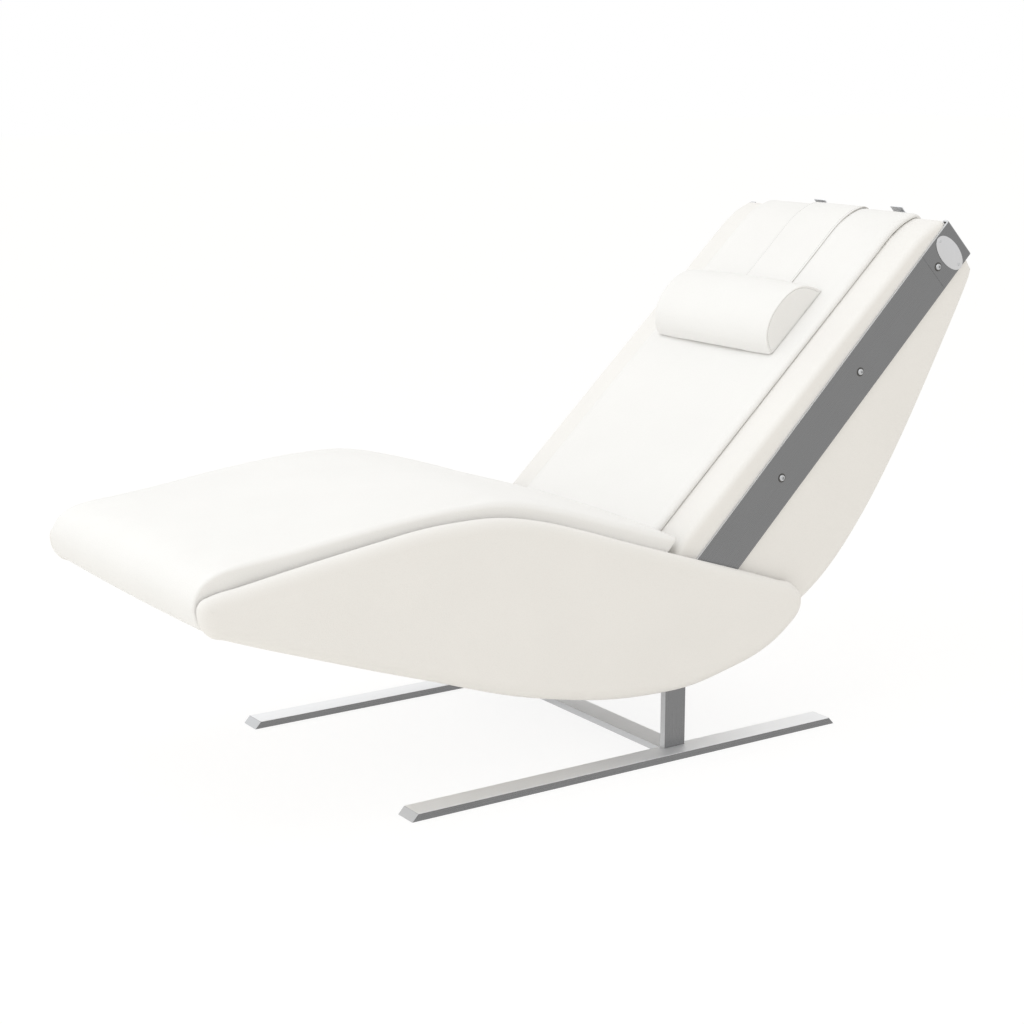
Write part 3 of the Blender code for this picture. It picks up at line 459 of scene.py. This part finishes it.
def pad_ring(half, thick, crown, edge, tuck, across, under):
    """(y, height) points round a pad: sides drawn in at the foot, rolled edge, crowned top."""
    low = min(1.8 * tuck, 0.45 * thick)
    rise = min(edge, thick - low)
    turns = [math.radians(90 * i / 6) for i in range(7)]
    side = [(half - tuck * (1 - math.sin(t)), low * (1 - math.cos(t))) for t in turns[::2]]
    side += [(half - edge * (1 - math.cos(t)), thick - rise * (1 - math.sin(t))) for t in turns]
    flat = half - edge
    ring = list(side)
    for i in range(1, across):
        y = flat * (1 - 2 * i / across)
        ring.append((y, thick + crown * (1 - (y / flat) ** 2)))
    ring += [(-y, h) for y, h in reversed(side)]
    return ring + [((half - tuck) * (2 * i / under - 1), 0.0) for i in range(1, under)]


def end_inset(distance, radius):
    """How far a rounded end draws in at a distance from the end."""
    return radius - math.sqrt(max(0.0, radius ** 2 - (radius - min(distance, radius)) ** 2))


def wrapped(sections):
    """A closed cover through rings of equal count: a grid, rolled up and closed at its ends."""
    count = len(sections[0])
    last = len(sections) - 1
    work = bmesh.new()
    bmesh.ops.create_grid(work, x_segments=count, y_segments=last, size=0.5)
    for vertex in work.verts:
        column = round((vertex.co.x + 0.5) * count) % count
        vertex.co = sections[round((vertex.co.y + 0.5) * last)][column]
    bmesh.ops.remove_doubles(work, verts=work.verts, dist=1e-6)
    bmesh.ops.holes_fill(work, edges=[e for e in work.edges if e.is_boundary], sides=0)
    return work


def spot(point):
    """A point rounded to a hundredth of a millimetre, to find it again."""
    return tuple(round(c, 5) for c in point)


def filled(piece, held, limit, pressure=4.0):
    """Fills a sewn cover: a short cloth simulation under pressure, kept within a limit."""
    mesh = piece.data
    start = [v.co.copy() for v in mesh.vertices]
    fixed = piece.vertex_groups.new(name="held")
    fixed.add([v.index for v in mesh.vertices if spot(v.co) in held], 1.0, "REPLACE")
    cloth = piece.modifiers.new("filling", "CLOTH")
    cloth.settings.quality = 6
    cloth.settings.mass = 0.3
    cloth.settings.tension_stiffness = 40.0
    cloth.settings.compression_stiffness = 40.0
    cloth.settings.shear_stiffness = 20.0
    cloth.settings.bending_stiffness = 6.0
    cloth.settings.use_pressure = True
    cloth.settings.uniform_pressure_force = pressure
    cloth.settings.vertex_group_mass = "held"
    cloth.settings.effector_weights.gravity = 0.0
    cloth.collision_settings.use_collision = False
    for moment in range(1, FILL_FRAMES + 1):
        scene.frame_set(moment)
    shape = piece.evaluated_get(bpy.context.evaluated_depsgraph_get()).data
    moved = [v.co - s for v, s in zip(shape.vertices, start)]
    piece.modifiers.remove(cloth)
    piece.vertex_groups.remove(fixed)
    for vertex, origin, shift in zip(mesh.vertices, start, moved):
        vertex.co = origin + shift * min(1.0, limit / max(shift.length, 1e-9))
    scene.frame_set(1)


def smoothed(piece, levels=1):
    """Rounds a piece with a subdivision surface."""
    surface = piece.modifiers.new("smooth", "SUBSURF")
    surface.levels = levels
    surface.render_levels = levels


top_leather = leather("top_leather", TOP_LEATHER)
seat_path = soft_path(seat_knots, SEAT_STEP)
seat_run = travelled(seat_path)
back_slope = Vector((math.cos(BACK_ANGLE), math.sin(BACK_ANGLE)))
seat_sections = []
seat_held = set()
for i, (x, z, thick) in enumerate(seat_path):
    along = -heading(seat_path, i)
    up = Vector((-along.y, along.x))
    up = up.lerp(back_slope, max(0.0, 1 - seat_run[i] / SEAT_LEAN)).normalized()
    to_front = seat_run[-1] - seat_run[i]
    rest = min(seat_run[i], to_front)
    inset = end_inset(seat_run[i], SEAT_REAR_ROUND) + end_inset(to_front, SEAT_FRONT_ROUND)
    foot = Vector((x, z)) - up * (thick - inset)
    crown = SEAT_CROWN * min(1.0, max(0.2, thick / SEAT_EDGE - 1))
    nose = min(1.0, max(0.0, (NOSE_FROM - x) / NOSE_RUN))
    half = SEAT_HALF + NOSE_WIDER * nose - inset
    edge = min(SEAT_EDGE * (1 - NOSE_SHARPER * nose), 0.6 * thick)
    ring = pad_ring(half, thick - 2 * inset, crown, edge, min(SEAT_TUCK, 0.25 * thick),
                    SEAT_ACROSS, PAD_UNDER)
    section = [PIVOT + Vector((foot.x + up.x * h, y, foot.y + up.y * h)) for y, h in ring]
    seat_sections.append(section)
    seat_held.update(spot(p) for p, (y, h) in zip(section, ring) if h == 0.0 or rest < SEAT_FIXED)
seat_pad = piece_of("seat_pad", wrapped(seat_sections), top_leather, "base",
                    ALL_SMOOTH)
filled(seat_pad, seat_held, SEAT_SWELL)
smoothed(seat_pad)
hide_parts("seat_cushion")

# Shell of the back
# A hollow moulded leaf under the same leather as the seat's sides, rounded along its
# edges and open at the lower end, where the lever reaches in.
SHELL_HALF = 0.351
SHELL_EDGE = 0.0145
SHELL_WALL = 0.020
SHELL_STEP, ROOM_STEP = 0.012, 0.02
shell_foot = [(0.100, 0.112), (0.082, 0.106), (0.072, 0.085)]
shell_rear = [(0.072, -0.040), (0.098, -0.154), (0.175, -0.237), (0.317, -0.270),
              (0.485, -0.259), (0.694, -0.2115), (0.966, -0.125)]
shell_head = [(1.098, -0.077), (1.115, -0.056), (1.1195, 0.000), (1.1215, 0.060), (1.121, 0.080),
              (1.117, 0.090), (1.106, 0.0955), (1.075, 0.1055), (1.030, 0.112)]
shell_mouth = [(0.030, -0.110), (0.130, -0.110), (0.130, 0.075), (0.030, 0.075)]
MOUTH_EASE = 0.001
to_back = Matrix.Translation(PIVOT) @ Matrix.Rotation(-BACK_ANGLE, 4, "Y")


def carved(mesh, cutters):
    """Takes closed cutter meshes out of a closed mesh and returns the result as a bmesh."""
    block = bpy.data.objects.new("block", mesh)
    scene.collection.objects.link(block)
    tools = []
    for cutter in cutters:
        tool = bpy.data.objects.new("tool", cutter)
        scene.collection.objects.link(tool)
        boolean = block.modifiers.new("carve", "BOOLEAN")
        boolean.operation = "DIFFERENCE"
        boolean.solver = "EXACT"
        boolean.object = tool
        tools.append(tool)
    result = bmesh.new()
    result.from_object(block, bpy.context.evaluated_depsgraph_get())
    for spent in tools + [block]:
        bpy.data.objects.remove(spent, do_unlink=True)
    return result


def welded(mesh):
    """A curve's mesh with its seams closed and its faces outwards."""
    work = bmesh.new()
    work.from_mesh(mesh)
    bmesh.ops.remove_doubles(work, verts=work.verts, dist=1e-6)
    bmesh.ops.recalc_face_normals(work, faces=work.faces)
    work.to_mesh(mesh)
    work.free()
    return mesh


shell_outline = soft_path(shell_foot + shell_rear + shell_head, SHELL_STEP)
room_outline = [shell_foot[0]] + soft_path(shell_rear, ROOM_STEP)
room_outline += [shell_head[0], shell_head[4], shell_head[-1]]
shell_body = welded(outlined("shell", shell_outline, SHELL_HALF, SHELL_EDGE))
room = welded(outlined("room", room_outline, SHELL_HALF - SHELL_WALL, 0.0, shrink=SHELL_WALL))
mouth = welded(outlined("mouth", shell_mouth, SHELL_HALF - SHELL_WALL - MOUTH_EASE, 0.0))
work = carved(shell_body, [room, mouth])
bmesh.ops.transform(work, matrix=to_back, verts=work.verts)
back_cover = piece_of("back_cover", work, shaded_side_leather, "back")
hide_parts("back_shell")

# Cushion of the back
# A thin tight pad of foam and leather along the middle of the shell, sewn with a round
# edge, that rolls over the head end.
BACK_PAD_HALF = 0.263
BACK_PAD_THICK = 0.0160
BACK_PAD_EDGE = 0.016
BACK_PAD_TUCK = 0.005
BACK_PAD_CROWN = 0.0010
BACK_PAD_END = 0.0035
BACK_PAD_LIFT = 0.0003
BACK_PAD_FIXED = 0.012
BACK_PAD_SWELL = 0.0008
BACK_PAD_STEP = 0.010
BACK_PAD_ACROSS = 40
STRAP_REST = 0.0007
back_knots = [(0.098, 0.112, 1.0), (0.300, 0.112, 1.0), (0.650, 0.112, 1.0), (0.940, 0.112, 1.0),
              (1.030, 0.1125, 1.0), (1.075, 0.1065, 0.95), (1.103, 0.0975, 0.85),
              (1.1185, 0.0900, 0.68), (1.1222, 0.0810, 0.58), (1.1222, 0.0715, 0.52)]
back_path = soft_path(back_knots, BACK_PAD_STEP)
back_run = travelled(back_path)
back_sections = []
back_top = []
back_held = set()
for i, (u, v, share) in enumerate(back_path):
    along = heading(back_path, i)
    rest = min(back_run[i], back_run[-1] - back_run[i])
    inset = end_inset(rest, BACK_PAD_END)
    thick = BACK_PAD_THICK * share
    ring = pad_ring(BACK_PAD_HALF - inset, thick - 2 * inset, BACK_PAD_CROWN,
                    BACK_PAD_EDGE * share, BACK_PAD_TUCK * share, BACK_PAD_ACROSS, PAD_UNDER)
    lift = BACK_PAD_LIFT + inset
    section = [to_back @ Vector((u - along.y * (h + lift), y, v + along.x * (h + lift)))
               for y, h in ring]
    back_sections.append(section)
    over = thick + BACK_PAD_CROWN + STRAP_REST
    back_top.append((u - along.y * over, v + along.x * over))
    back_held.update(spot(p) for p, (y, h) in zip(section, ring)
                     if h == 0.0 or rest < BACK_PAD_FIXED)
back_pad = piece_of("back_pad", wrapped(back_sections), top_leather, "back",
                    ALL_SMOOTH)
filled(back_pad, back_held, BACK_PAD_SWELL)
smoothed(back_pad)
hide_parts("back_cushion")

# Apron between the seat and the back
# A strip of the same leather, fixed inside the foot of the back. It is bent about the
# pivot, slides in under the seat cushion and keeps the gap closed as the back goes down.
APRON_RADIUS = 0.1265
APRON_HALF = 0.3585
APRON_THICK = 0.0024
APRON_START = math.radians(86.0)
APRON_SWEEP = math.radians(60.0)
APRON_COLUMNS, APRON_ROWS = 12, 20
BAND_EDGE = 0.0008
BAND_EDGE_ANGLE = math.radians(50)


def band_of(name, columns, rows, place, thick, material, body):
    """A flat band made thick: a grid, placed by row and by share of the half width."""
    work = bmesh.new()
    bmesh.ops.create_grid(work, x_segments=columns, y_segments=rows, size=0.5)
    for vertex in work.verts:
        vertex.co = place(round((vertex.co.y + 0.5) * rows), 2 * vertex.co.x)
    band = piece_of(name, work, material, body, ALL_SMOOTH)
    thickness = band.modifiers.new("thickness", "SOLIDIFY")
    thickness.thickness = thick
    thickness.offset = 0.0
    soft_edge = band.modifiers.new("soft_edge", "BEVEL")
    soft_edge.width = BAND_EDGE
    soft_edge.segments = 2
    soft_edge.limit_method = "ANGLE"
    soft_edge.angle_limit = BAND_EDGE_ANGLE
    return band


def apron_place(row, across):
    """A point of the apron, on an arc about the pivot."""
    turn = APRON_START + APRON_SWEEP * row / APRON_ROWS
    reach = APRON_RADIUS * Vector((math.cos(turn), 0, math.sin(turn)))
    return PIVOT + reach + Vector((0, across * APRON_HALF, 0))


apron = band_of("seat_apron", APRON_COLUMNS, APRON_ROWS, apron_place, APRON_THICK, top_leather,
                "back")

# Arms and head bracket
# Flat steel bar, brushed along its length and round at the pivot; a dark, shaded copy of the
# steel, with its upper edge several times lighter as painted light from above. The bracket is
# bent from the same bar and joins the arms behind the head.
ARM_ANGLE = math.radians(44.3)
ARM_SHADED_COLOUR = (0.215, 0.216, 0.218, 1.0)
ARM_WIDTH = 0.110
ARM_EDGE = 0.0007
ARM_EDGE_PAINTED_LIGHT = 3.2
# Painted light: the hooks are the bar's steel made about four times lighter, a lit copy of it.
HOOK_LIT_COLOUR = shaded(BAR_SHADED_COLOUR, 4.1)
HOOK_EDGE = 0.0006
arm_run = (math.cos(ARM_ANGLE), 0.0, math.sin(ARM_ANGLE))
arm_up = Vector((-arm_run[2], 0.0, arm_run[0]))
# Painted light: the arms' upper edge is made several times lighter than their sides.
arm_lit_faces = [(arm_up, arm_up.dot(PIVOT) + ARM_WIDTH / 2, ARM_EDGE_PAINTED_LIGHT)]
arm_steel = brushed_steel("arm_steel", ARM_SHADED_COLOUR, arm_run, painted_light_faces=arm_lit_faces)
dress(["back_arm_left", "back_arm_right", "head_bracket"], arm_steel, ARM_EDGE)
lit_hook_steel = brushed_steel("lit_hook_steel", HOOK_LIT_COLOUR, (0, 1, 0), 0.50)
dress(["head_hook_left", "head_hook_right"], lit_hook_steel, HOOK_EDGE)

# Screws that hold the shell to the arms
# Button heads with a hexagon socket, bright plated, each on a thin black washer.
SCREW_HEAD = 0.0078
WASHER_RADIUS = 0.0104
WASHER_THICK = 0.0007
SCREW_HEIGHT = 0.005
SCREW_SHANK = 0.004
SCREW_LENGTH = 0.0468
SOCKET_FLAT = 0.0031
SOCKET_DEPTH = 0.0028
SOCKET_SIDE = math.radians(60)
WASHER_HOLE = SCREW_SHANK + 0.0002
ARM_OUTER = 0.3561
screw_places = (("lower", 0.394), ("middle", 0.711), ("upper", 1.035))
to_arm = Matrix.Translation(PIVOT) @ Matrix.Rotation(-ARM_ANGLE, 4, "Y")
screw_profile = [(SOCKET_FLAT, SCREW_HEIGHT - 0.0002), (0.0040, SCREW_HEIGHT),
                 (0.0057, SCREW_HEIGHT * 0.86), (0.0070, SCREW_HEIGHT * 0.54), (SCREW_HEAD, 0.0013),
                 (SCREW_HEAD, 0.0008), (SCREW_SHANK, 0.0008), (SCREW_SHANK, -SCREW_LENGTH)]
washer_profile = [(WASHER_HOLE, WASHER_THICK), (WASHER_RADIUS - 0.0003, WASHER_THICK),
                  (WASHER_RADIUS, WASHER_THICK - 0.0003), (WASHER_RADIUS, 0.0001),
                  (WASHER_HOLE, 0.0001), (WASHER_HOLE, WASHER_THICK)]


def turned(profile):
    """A bmesh spun about Z from (radius, height) points, closed if the first and last meet."""
    spun = bmesh.new()
    count = len(profile) - (profile[0] == profile[-1])
    corners = [spun.verts.new((r, 0, z)) for r, z in profile[:count]]
    rim = [spun.edges.new((corners[i], corners[(i + 1) % count])) for i in range(len(profile) - 1)]
    bmesh.ops.spin(spun, geom=corners + rim, cent=(0, 0, 0), axis=(0, 0, 1), angle=2 * math.pi,
                   steps=36, use_merge=True)
    return spun


for level, along in screw_places:
    for name, side in (("left", -1), ("right", 1)):
        work = turned(screw_profile)
        for vertex in work.verts:
            if vertex.co.z > SCREW_HEIGHT - 0.0003 and vertex.co.xy.length < SOCKET_FLAT * 1.05:
                turn = math.atan2(vertex.co.y, vertex.co.x) % SOCKET_SIDE - SOCKET_SIDE / 2
                vertex.co.xy *= 1 / math.cos(turn)
        socket_rim = [e for e in work.edges if e.is_boundary and e.verts[0].co.z > 0]
        walls = bmesh.ops.extrude_edge_only(work, edges=socket_rim)
        floor_rim = [g for g in walls["geom"] if isinstance(g, bmesh.types.BMVert)]
        bmesh.ops.translate(work, vec=(0, 0, -SOCKET_DEPTH), verts=floor_rim)
        bmesh.ops.holes_fill(work, edges=[e for e in work.edges if e.is_boundary], sides=0)
        to_face = (to_arm @ Matrix.Translation((along, side * ARM_OUTER, 0))
                   @ Matrix.Rotation(-side * math.pi / 2, 4, "X"))
        bmesh.ops.transform(work, matrix=to_face, verts=work.verts)
        screw_name = "button_screw_%s_%s" % (name, level)
        screw = piece_of(screw_name, work, zinc, "back", 32.0)
        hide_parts("arm_screw_%s_%s" % (name, level))
        work = turned(washer_profile)
        bmesh.ops.transform(work, matrix=to_face, verts=work.verts)
        washer_name = "screw_washer_%s_%s" % (name, level)
        piece_of(washer_name, work, lining, "back", 32.0)

# Oval plate on the near arm
# A bare stamped oval of brushed steel, held flat on the bracket by two round rivets.
PLATE_LONG = 0.0535
PLATE_SHORT = 0.0275
PLATE_THICK = 0.0011
PLATE_PLACE = (1.0808, -0.0022)
PLATE_TURN = math.radians(94.0)
PLATE_EDGE = 0.0004
PLATE_GAP = 0.0001
PLATE_COLOUR = (0.63, 0.63, 0.635, 1.0)
RIVET_RADIUS = 0.0032
RIVET_DOME = 0.55
RIVET_INSET = 0.011
plate_steel = brushed_steel("plate_steel", PLATE_COLOUR, (0, 0, 1), 0.30)
to_plate = (to_arm @ Matrix.Translation((PLATE_PLACE[0], -ARM_OUTER - PLATE_GAP, PLATE_PLACE[1]))
            @ Matrix.Rotation(-PLATE_TURN, 4, "Y") @ Matrix.Rotation(math.pi / 2, 4, "X"))
work = bmesh.new()
bmesh.ops.create_circle(work, cap_ends=True, segments=64, radius=1.0)
bmesh.ops.scale(work, vec=(PLATE_LONG, PLATE_SHORT, 1.0), verts=work.verts)
raised = bmesh.ops.extrude_face_region(work, geom=work.faces[:])
raised_points = [g for g in raised["geom"] if isinstance(g, bmesh.types.BMVert)]
bmesh.ops.translate(work, vec=(0, 0, PLATE_THICK), verts=raised_points)
top_edges = [e for e in work.edges if all(v.co.z > PLATE_THICK / 2 for v in e.verts)]
bmesh.ops.bevel(work, geom=top_edges, offset=PLATE_EDGE, segments=2, profile=0.5, affect="EDGES",
                material=-1)
bmesh.ops.transform(work, matrix=to_plate, verts=work.verts)
piece_of("oval_plate", work, plate_steel, "back", 30.0)
for name, place in (("upper", 1), ("lower", -1)):
    work = bmesh.new()
    bmesh.ops.create_uvsphere(work, u_segments=20, v_segments=10, radius=RIVET_RADIUS)
    bmesh.ops.bisect_plane(work, geom=work.verts[:] + work.edges[:] + work.faces[:],
                           plane_co=(0, 0, 0), plane_no=(0, 0, 1), clear_inner=True)
    bmesh.ops.holes_fill(work, edges=[e for e in work.edges if e.is_boundary], sides=0)
    bmesh.ops.scale(work, vec=(1, 1, RIVET_DOME), verts=work.verts)
    to_rivet = Matrix.Translation((place * (PLATE_LONG - RIVET_INSET), 0, PLATE_THICK))
    bmesh.ops.transform(work, matrix=to_plate @ to_rivet, verts=work.verts)
    piece_of("plate_rivet_" + name, work, zinc, "back", 40.0)

# Strap of the neck pillow
# A flat band of doubled leather that lies under the pillow and goes over the head end.
# Its cut edges are coloured darker, and a row of stitches runs along each.
STRAP_HALF = 0.0875
STRAP_THICK = 0.0032
STRAP_FOOT = 0.735
STRAP_DROOP = 0.0004
STRAP_EDGE_DARK = (0.60, 0.585, 0.565, 1.0)
STRAP_STEP = 0.006
STRAP_COLUMNS = 24
STITCH_INSET = 0.0065
STITCH_PITCH = 0.0052
STITCH_SHARE, STITCH_WIDTH, STITCH_RISE = 0.70, 0.0012, 0.0010
strap_knots = [point for point in back_top if point[0] > STRAP_FOOT][::2]
strap_knots += [(1.1318, 0.0600), (1.1308, 0.0418), (1.1308, 0.0178)]


def sewn(name, lines, body, material, pitch=STITCH_PITCH):
    """Rows of raised stitches: each line is a list of (point, normal)."""
    thread_size = Matrix.Diagonal((pitch * STITCH_SHARE, STITCH_WIDTH, STITCH_RISE, 1.0))
    work = bmesh.new()
    for line in lines:
        spare = pitch / 2
        for (a, up), (b, _) in zip(line, line[1:]):
            span = b - a
            while spare < span.length:
                lie = Matrix((span.normalized(), up.cross(span).normalized(), up)).transposed()
                seat = Matrix.Translation(a + span.normalized() * spare) @ lie.to_4x4()
                bmesh.ops.create_uvsphere(work, u_segments=6, v_segments=4, radius=0.5,
                                          matrix=seat @ thread_size)
                spare += pitch
            spare -= span.length
    return piece_of(name, work, material, body, ALL_SMOOTH)


thread = leather("sewing_thread", shaded(TOP_LEATHER, 0.55), 0.0008, 0.2)
strap_leather = leather("strap_leather", TOP_LEATHER, dark_edges=(STRAP_HALF, STRAP_EDGE_DARK))
strap_path = soft_path(strap_knots, STRAP_STEP)


def strap_place(row, across):
    """A point of the strap, a little lower towards its edges."""
    u, v = strap_path[row]
    along = heading(strap_path, row)
    rise = STRAP_THICK / 2 - STRAP_DROOP * across ** 2
    return to_back @ Vector((u - along.y * rise, across * STRAP_HALF, v + along.x * rise))


strap = band_of("neck_strap", STRAP_COLUMNS, len(strap_path) - 1, strap_place, STRAP_THICK,
                strap_leather, "back")
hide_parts("pillow_strap")
strap_lines = []
for side in (-1, 1):
    line = []
    for i, (u, v) in enumerate(strap_path):
        along = heading(strap_path, i)
        up = Vector((-along.y, 0, along.x))
        foot = Vector((u, side * (STRAP_HALF - STITCH_INSET), v)) + up * (STRAP_THICK - STRAP_DROOP)
        line.append((to_back @ foot, to_back.to_3x3() @ up))
    strap_lines.append(line)
strap_stitches = sewn("strap_stitches", strap_lines, "back", thread)

# Neck pillow
# A half-round bolster of foam in a sewn cover: one long piece round the roll and a flat
# cheek at each end, joined by a stitched seam. It rests on the strap and slides along it.
PILLOW_FOOT = Vector((0.629, 0.010, 0.1333))
PILLOW_DEPTH = 0.212
PILLOW_HEIGHT = 0.072
PILLOW_HALF = 0.211
PILLOW_END = 0.96
PILLOW_MIDDLE = (0.5, 0.42)
PILLOW_ROWS = 56
PILLOW_STEP = 0.045
PILLOW_SINK, SINK_FROM, SINK_RUN = 0.0027, 0.010, 0.025
PILLOW_SWELL = 0.003
PILLOW_PRESSURE = 2.0
SEAM_SHARE = 0.925
SEAM_DEPTH = 0.0025
SEAM_PROUD = 0.0009
SEAM_FOOT = 0.03
SEAM_PITCH = 0.0045
pillow_knots = [(0.00, 0.09), (0.04, 0.42), (0.145, 0.74), (0.305, 0.945), (0.48, 1.00),
                (0.65, 0.965), (0.80, 0.79), (0.905, 0.50), (0.99, 0.07), (0.965, 0.00),
                (0.50, 0.00), (0.04, 0.00), (0.00, 0.09)]
pillow_ring = [(a, max(0.0, b)) for a, b in soft_path(pillow_knots, PILLOW_STEP)][:-1]
cheek = (0.06, 0.3, 0.55, 0.75, 0.85, 0.90, SEAM_SHARE, 0.95, 0.98)
pillow_rows = [(-1.0, share) for share in cheek]
pillow_rows += [(-1.0 + 2 * i / PILLOW_ROWS, 1.0) for i in range(PILLOW_ROWS + 1)]
pillow_rows += [(1.0, share) for share in reversed(cheek)]
pillow_sections = []
pillow_held = set()
cheek_seams = []
for along, share in pillow_rows:
    full = PILLOW_END + (1 - PILLOW_END) * math.sqrt(max(0.0, 1 - along ** 2))
    section = []
    y = along * (PILLOW_HALF - (SEAM_DEPTH if share == SEAM_SHARE else 0.0))
    beside_strap = abs(PILLOW_FOOT.y + y) - STRAP_HALF - SINK_FROM
    sink = PILLOW_SINK * min(1.0, max(0.0, beside_strap / SINK_RUN))
    for a, b in pillow_ring:
        a = PILLOW_MIDDLE[0] + (a - PILLOW_MIDDLE[0]) * share * full
        b = (PILLOW_MIDDLE[1] + (b - PILLOW_MIDDLE[1]) * share) * full
        drop = sink * max(0.0, 1 - b)
        reach = Vector((a * PILLOW_DEPTH, y, b * PILLOW_HEIGHT - drop))
        section.append(to_back @ (PILLOW_FOOT + reach))
        if b < 0.001 or share < 1.0:
            pillow_held.add(spot(section[-1]))
    pillow_sections.append(section)
    if share == SEAM_SHARE:
        arch = [point for point, (a, b) in zip(section, pillow_ring) if b > SEAM_FOOT]
        outwards = Vector((0, along, 0))
        cheek_seams.append([(point + outwards * SEAM_PROUD, outwards) for point in arch])
pillow = piece_of("neck_bolster", wrapped(pillow_sections), top_leather, "pillow",
                  ALL_SMOOTH)
filled(pillow, pillow_held, PILLOW_SWELL, PILLOW_PRESSURE)
smoothed(pillow)
sewn("pillow_stitches", cheek_seams, "pillow", thread, SEAM_PITCH)
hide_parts("neck_pillow")

# Camera
# It stands at the photograph's place: off the foot end, at about head height, with a
# long lens.
CAMERA_PLACE = (-2.5977, -3.8299, 1.5611)
CAMERA_TURN = math.radians(56.404)
CAMERA_DROP = math.radians(12.792)
CAMERA_LENS = 72.99
CAMERA_SENSOR = 36.0
CAMERA_REACH = 100.0
camera_lens = bpy.data.cameras.new("camera")
camera_lens.lens = CAMERA_LENS
camera_lens.sensor_width = CAMERA_SENSOR
camera_lens.clip_end = CAMERA_REACH
camera = bpy.data.objects.new("camera", camera_lens)
scene.collection.objects.link(camera)
level = math.cos(CAMERA_DROP)
look = Vector((level * math.cos(CAMERA_TURN), level * math.sin(CAMERA_TURN),
               -math.sin(CAMERA_DROP)))
camera.location = CAMERA_PLACE
camera.rotation_euler = look.to_track_quat("-Z", "Y").to_euler()
scene.camera = camera

# Floor
# A wide plain white sheet that fades into the room behind it. It keeps the lounger's
# soft shadow.
FLOOR_COLOUR = (0.96, 0.945, 0.915, 1.0)
FLOOR_GLOW = 1.03
FLOOR_SHARE = 0.85
FLOOR_HALF = 30.0
WHITE = (1.0, 1.0, 1.0, 1.0)


def seen_directly(tree):
    """1 where the camera looks, also by way of mirrors and glass, and 0 for all other light."""
    rays = tree.nodes.new("ShaderNodeLightPath")
    seen = Wire(rays.outputs["Is Camera Ray"]) + Wire(rays.outputs["Is Glossy Ray"])
    return seen.math("MINIMUM", seen + Wire(rays.outputs["Is Transmission Ray"]), 1.0)


floor_paint = bpy.data.materials.new("white_floor")
floor_paint.use_nodes = True
floor_tree = floor_paint.node_tree
floor_tree.nodes.clear()
seen = seen_directly(floor_tree)
matte = seen.node("ShaderNodeBsdfDiffuse", {}, {"Color": FLOOR_COLOUR})
glow = seen.node("ShaderNodeEmission", {}, {"Color": WHITE, "Strength": FLOOR_GLOW})
mixed = seen.node("ShaderNodeMixShader", {}, {0: seen * FLOOR_SHARE, 1: matte, 2: glow})
ground = floor_tree.nodes.new("ShaderNodeOutputMaterial")
floor_tree.links.new(mixed.socket, ground.inputs["Surface"])
work = bmesh.new()
bmesh.ops.create_grid(work, x_segments=1, y_segments=1, size=FLOOR_HALF)
floor_mesh = bpy.data.meshes.new("floor")
work.to_mesh(floor_mesh)
work.free()
floor_mesh.materials.append(floor_paint)
floor = bpy.data.objects.new("floor", floor_mesh)
scene.collection.objects.link(floor)

# Light
# An even white room, with large soft lamps above, behind and at the foot end.
ROOM_STRENGTH = 0.90
ROOM_COLOUR = (1.0, 0.98, 0.945, 1.0)
LAMP_COLOUR = (0.88, 0.94, 1.0)
LAMP_AIM = Vector((0, 0, 0.5))
lamps = (("lamp_above", (-1.3, -0.3, 3.8), 2.6, 30.0),
         ("lamp_behind", (-1.4, 3.6, 2.4), 2.4, 10.0),
         ("lamp_foot", (-5.2, -0.5, 1.1), 2.6, 24.0))
room_light = bpy.data.worlds.new("white_room")
room_light.use_nodes = True
scene.world = room_light
seen = seen_directly(room_light.node_tree)
connect(room_light.node_tree.nodes["Background"],
        {"Strength": ROOM_STRENGTH + (1 - ROOM_STRENGTH) * seen,
         "Color": tinted(seen, ROOM_COLOUR, WHITE)})
for name, place, size, power in lamps:
    lamp = bpy.data.lights.new(name, "AREA")
    lamp.energy = power
    lamp.color = LAMP_COLOUR
    lamp.size = size
    holder = bpy.data.objects.new(name, lamp)
    holder.location = place
    holder.rotation_euler = (LAMP_AIM - Vector(place)).to_track_quat("-Z", "Y").to_euler()
    scene.collection.objects.link(holder)

scene.view_settings.view_transform = "Standard"
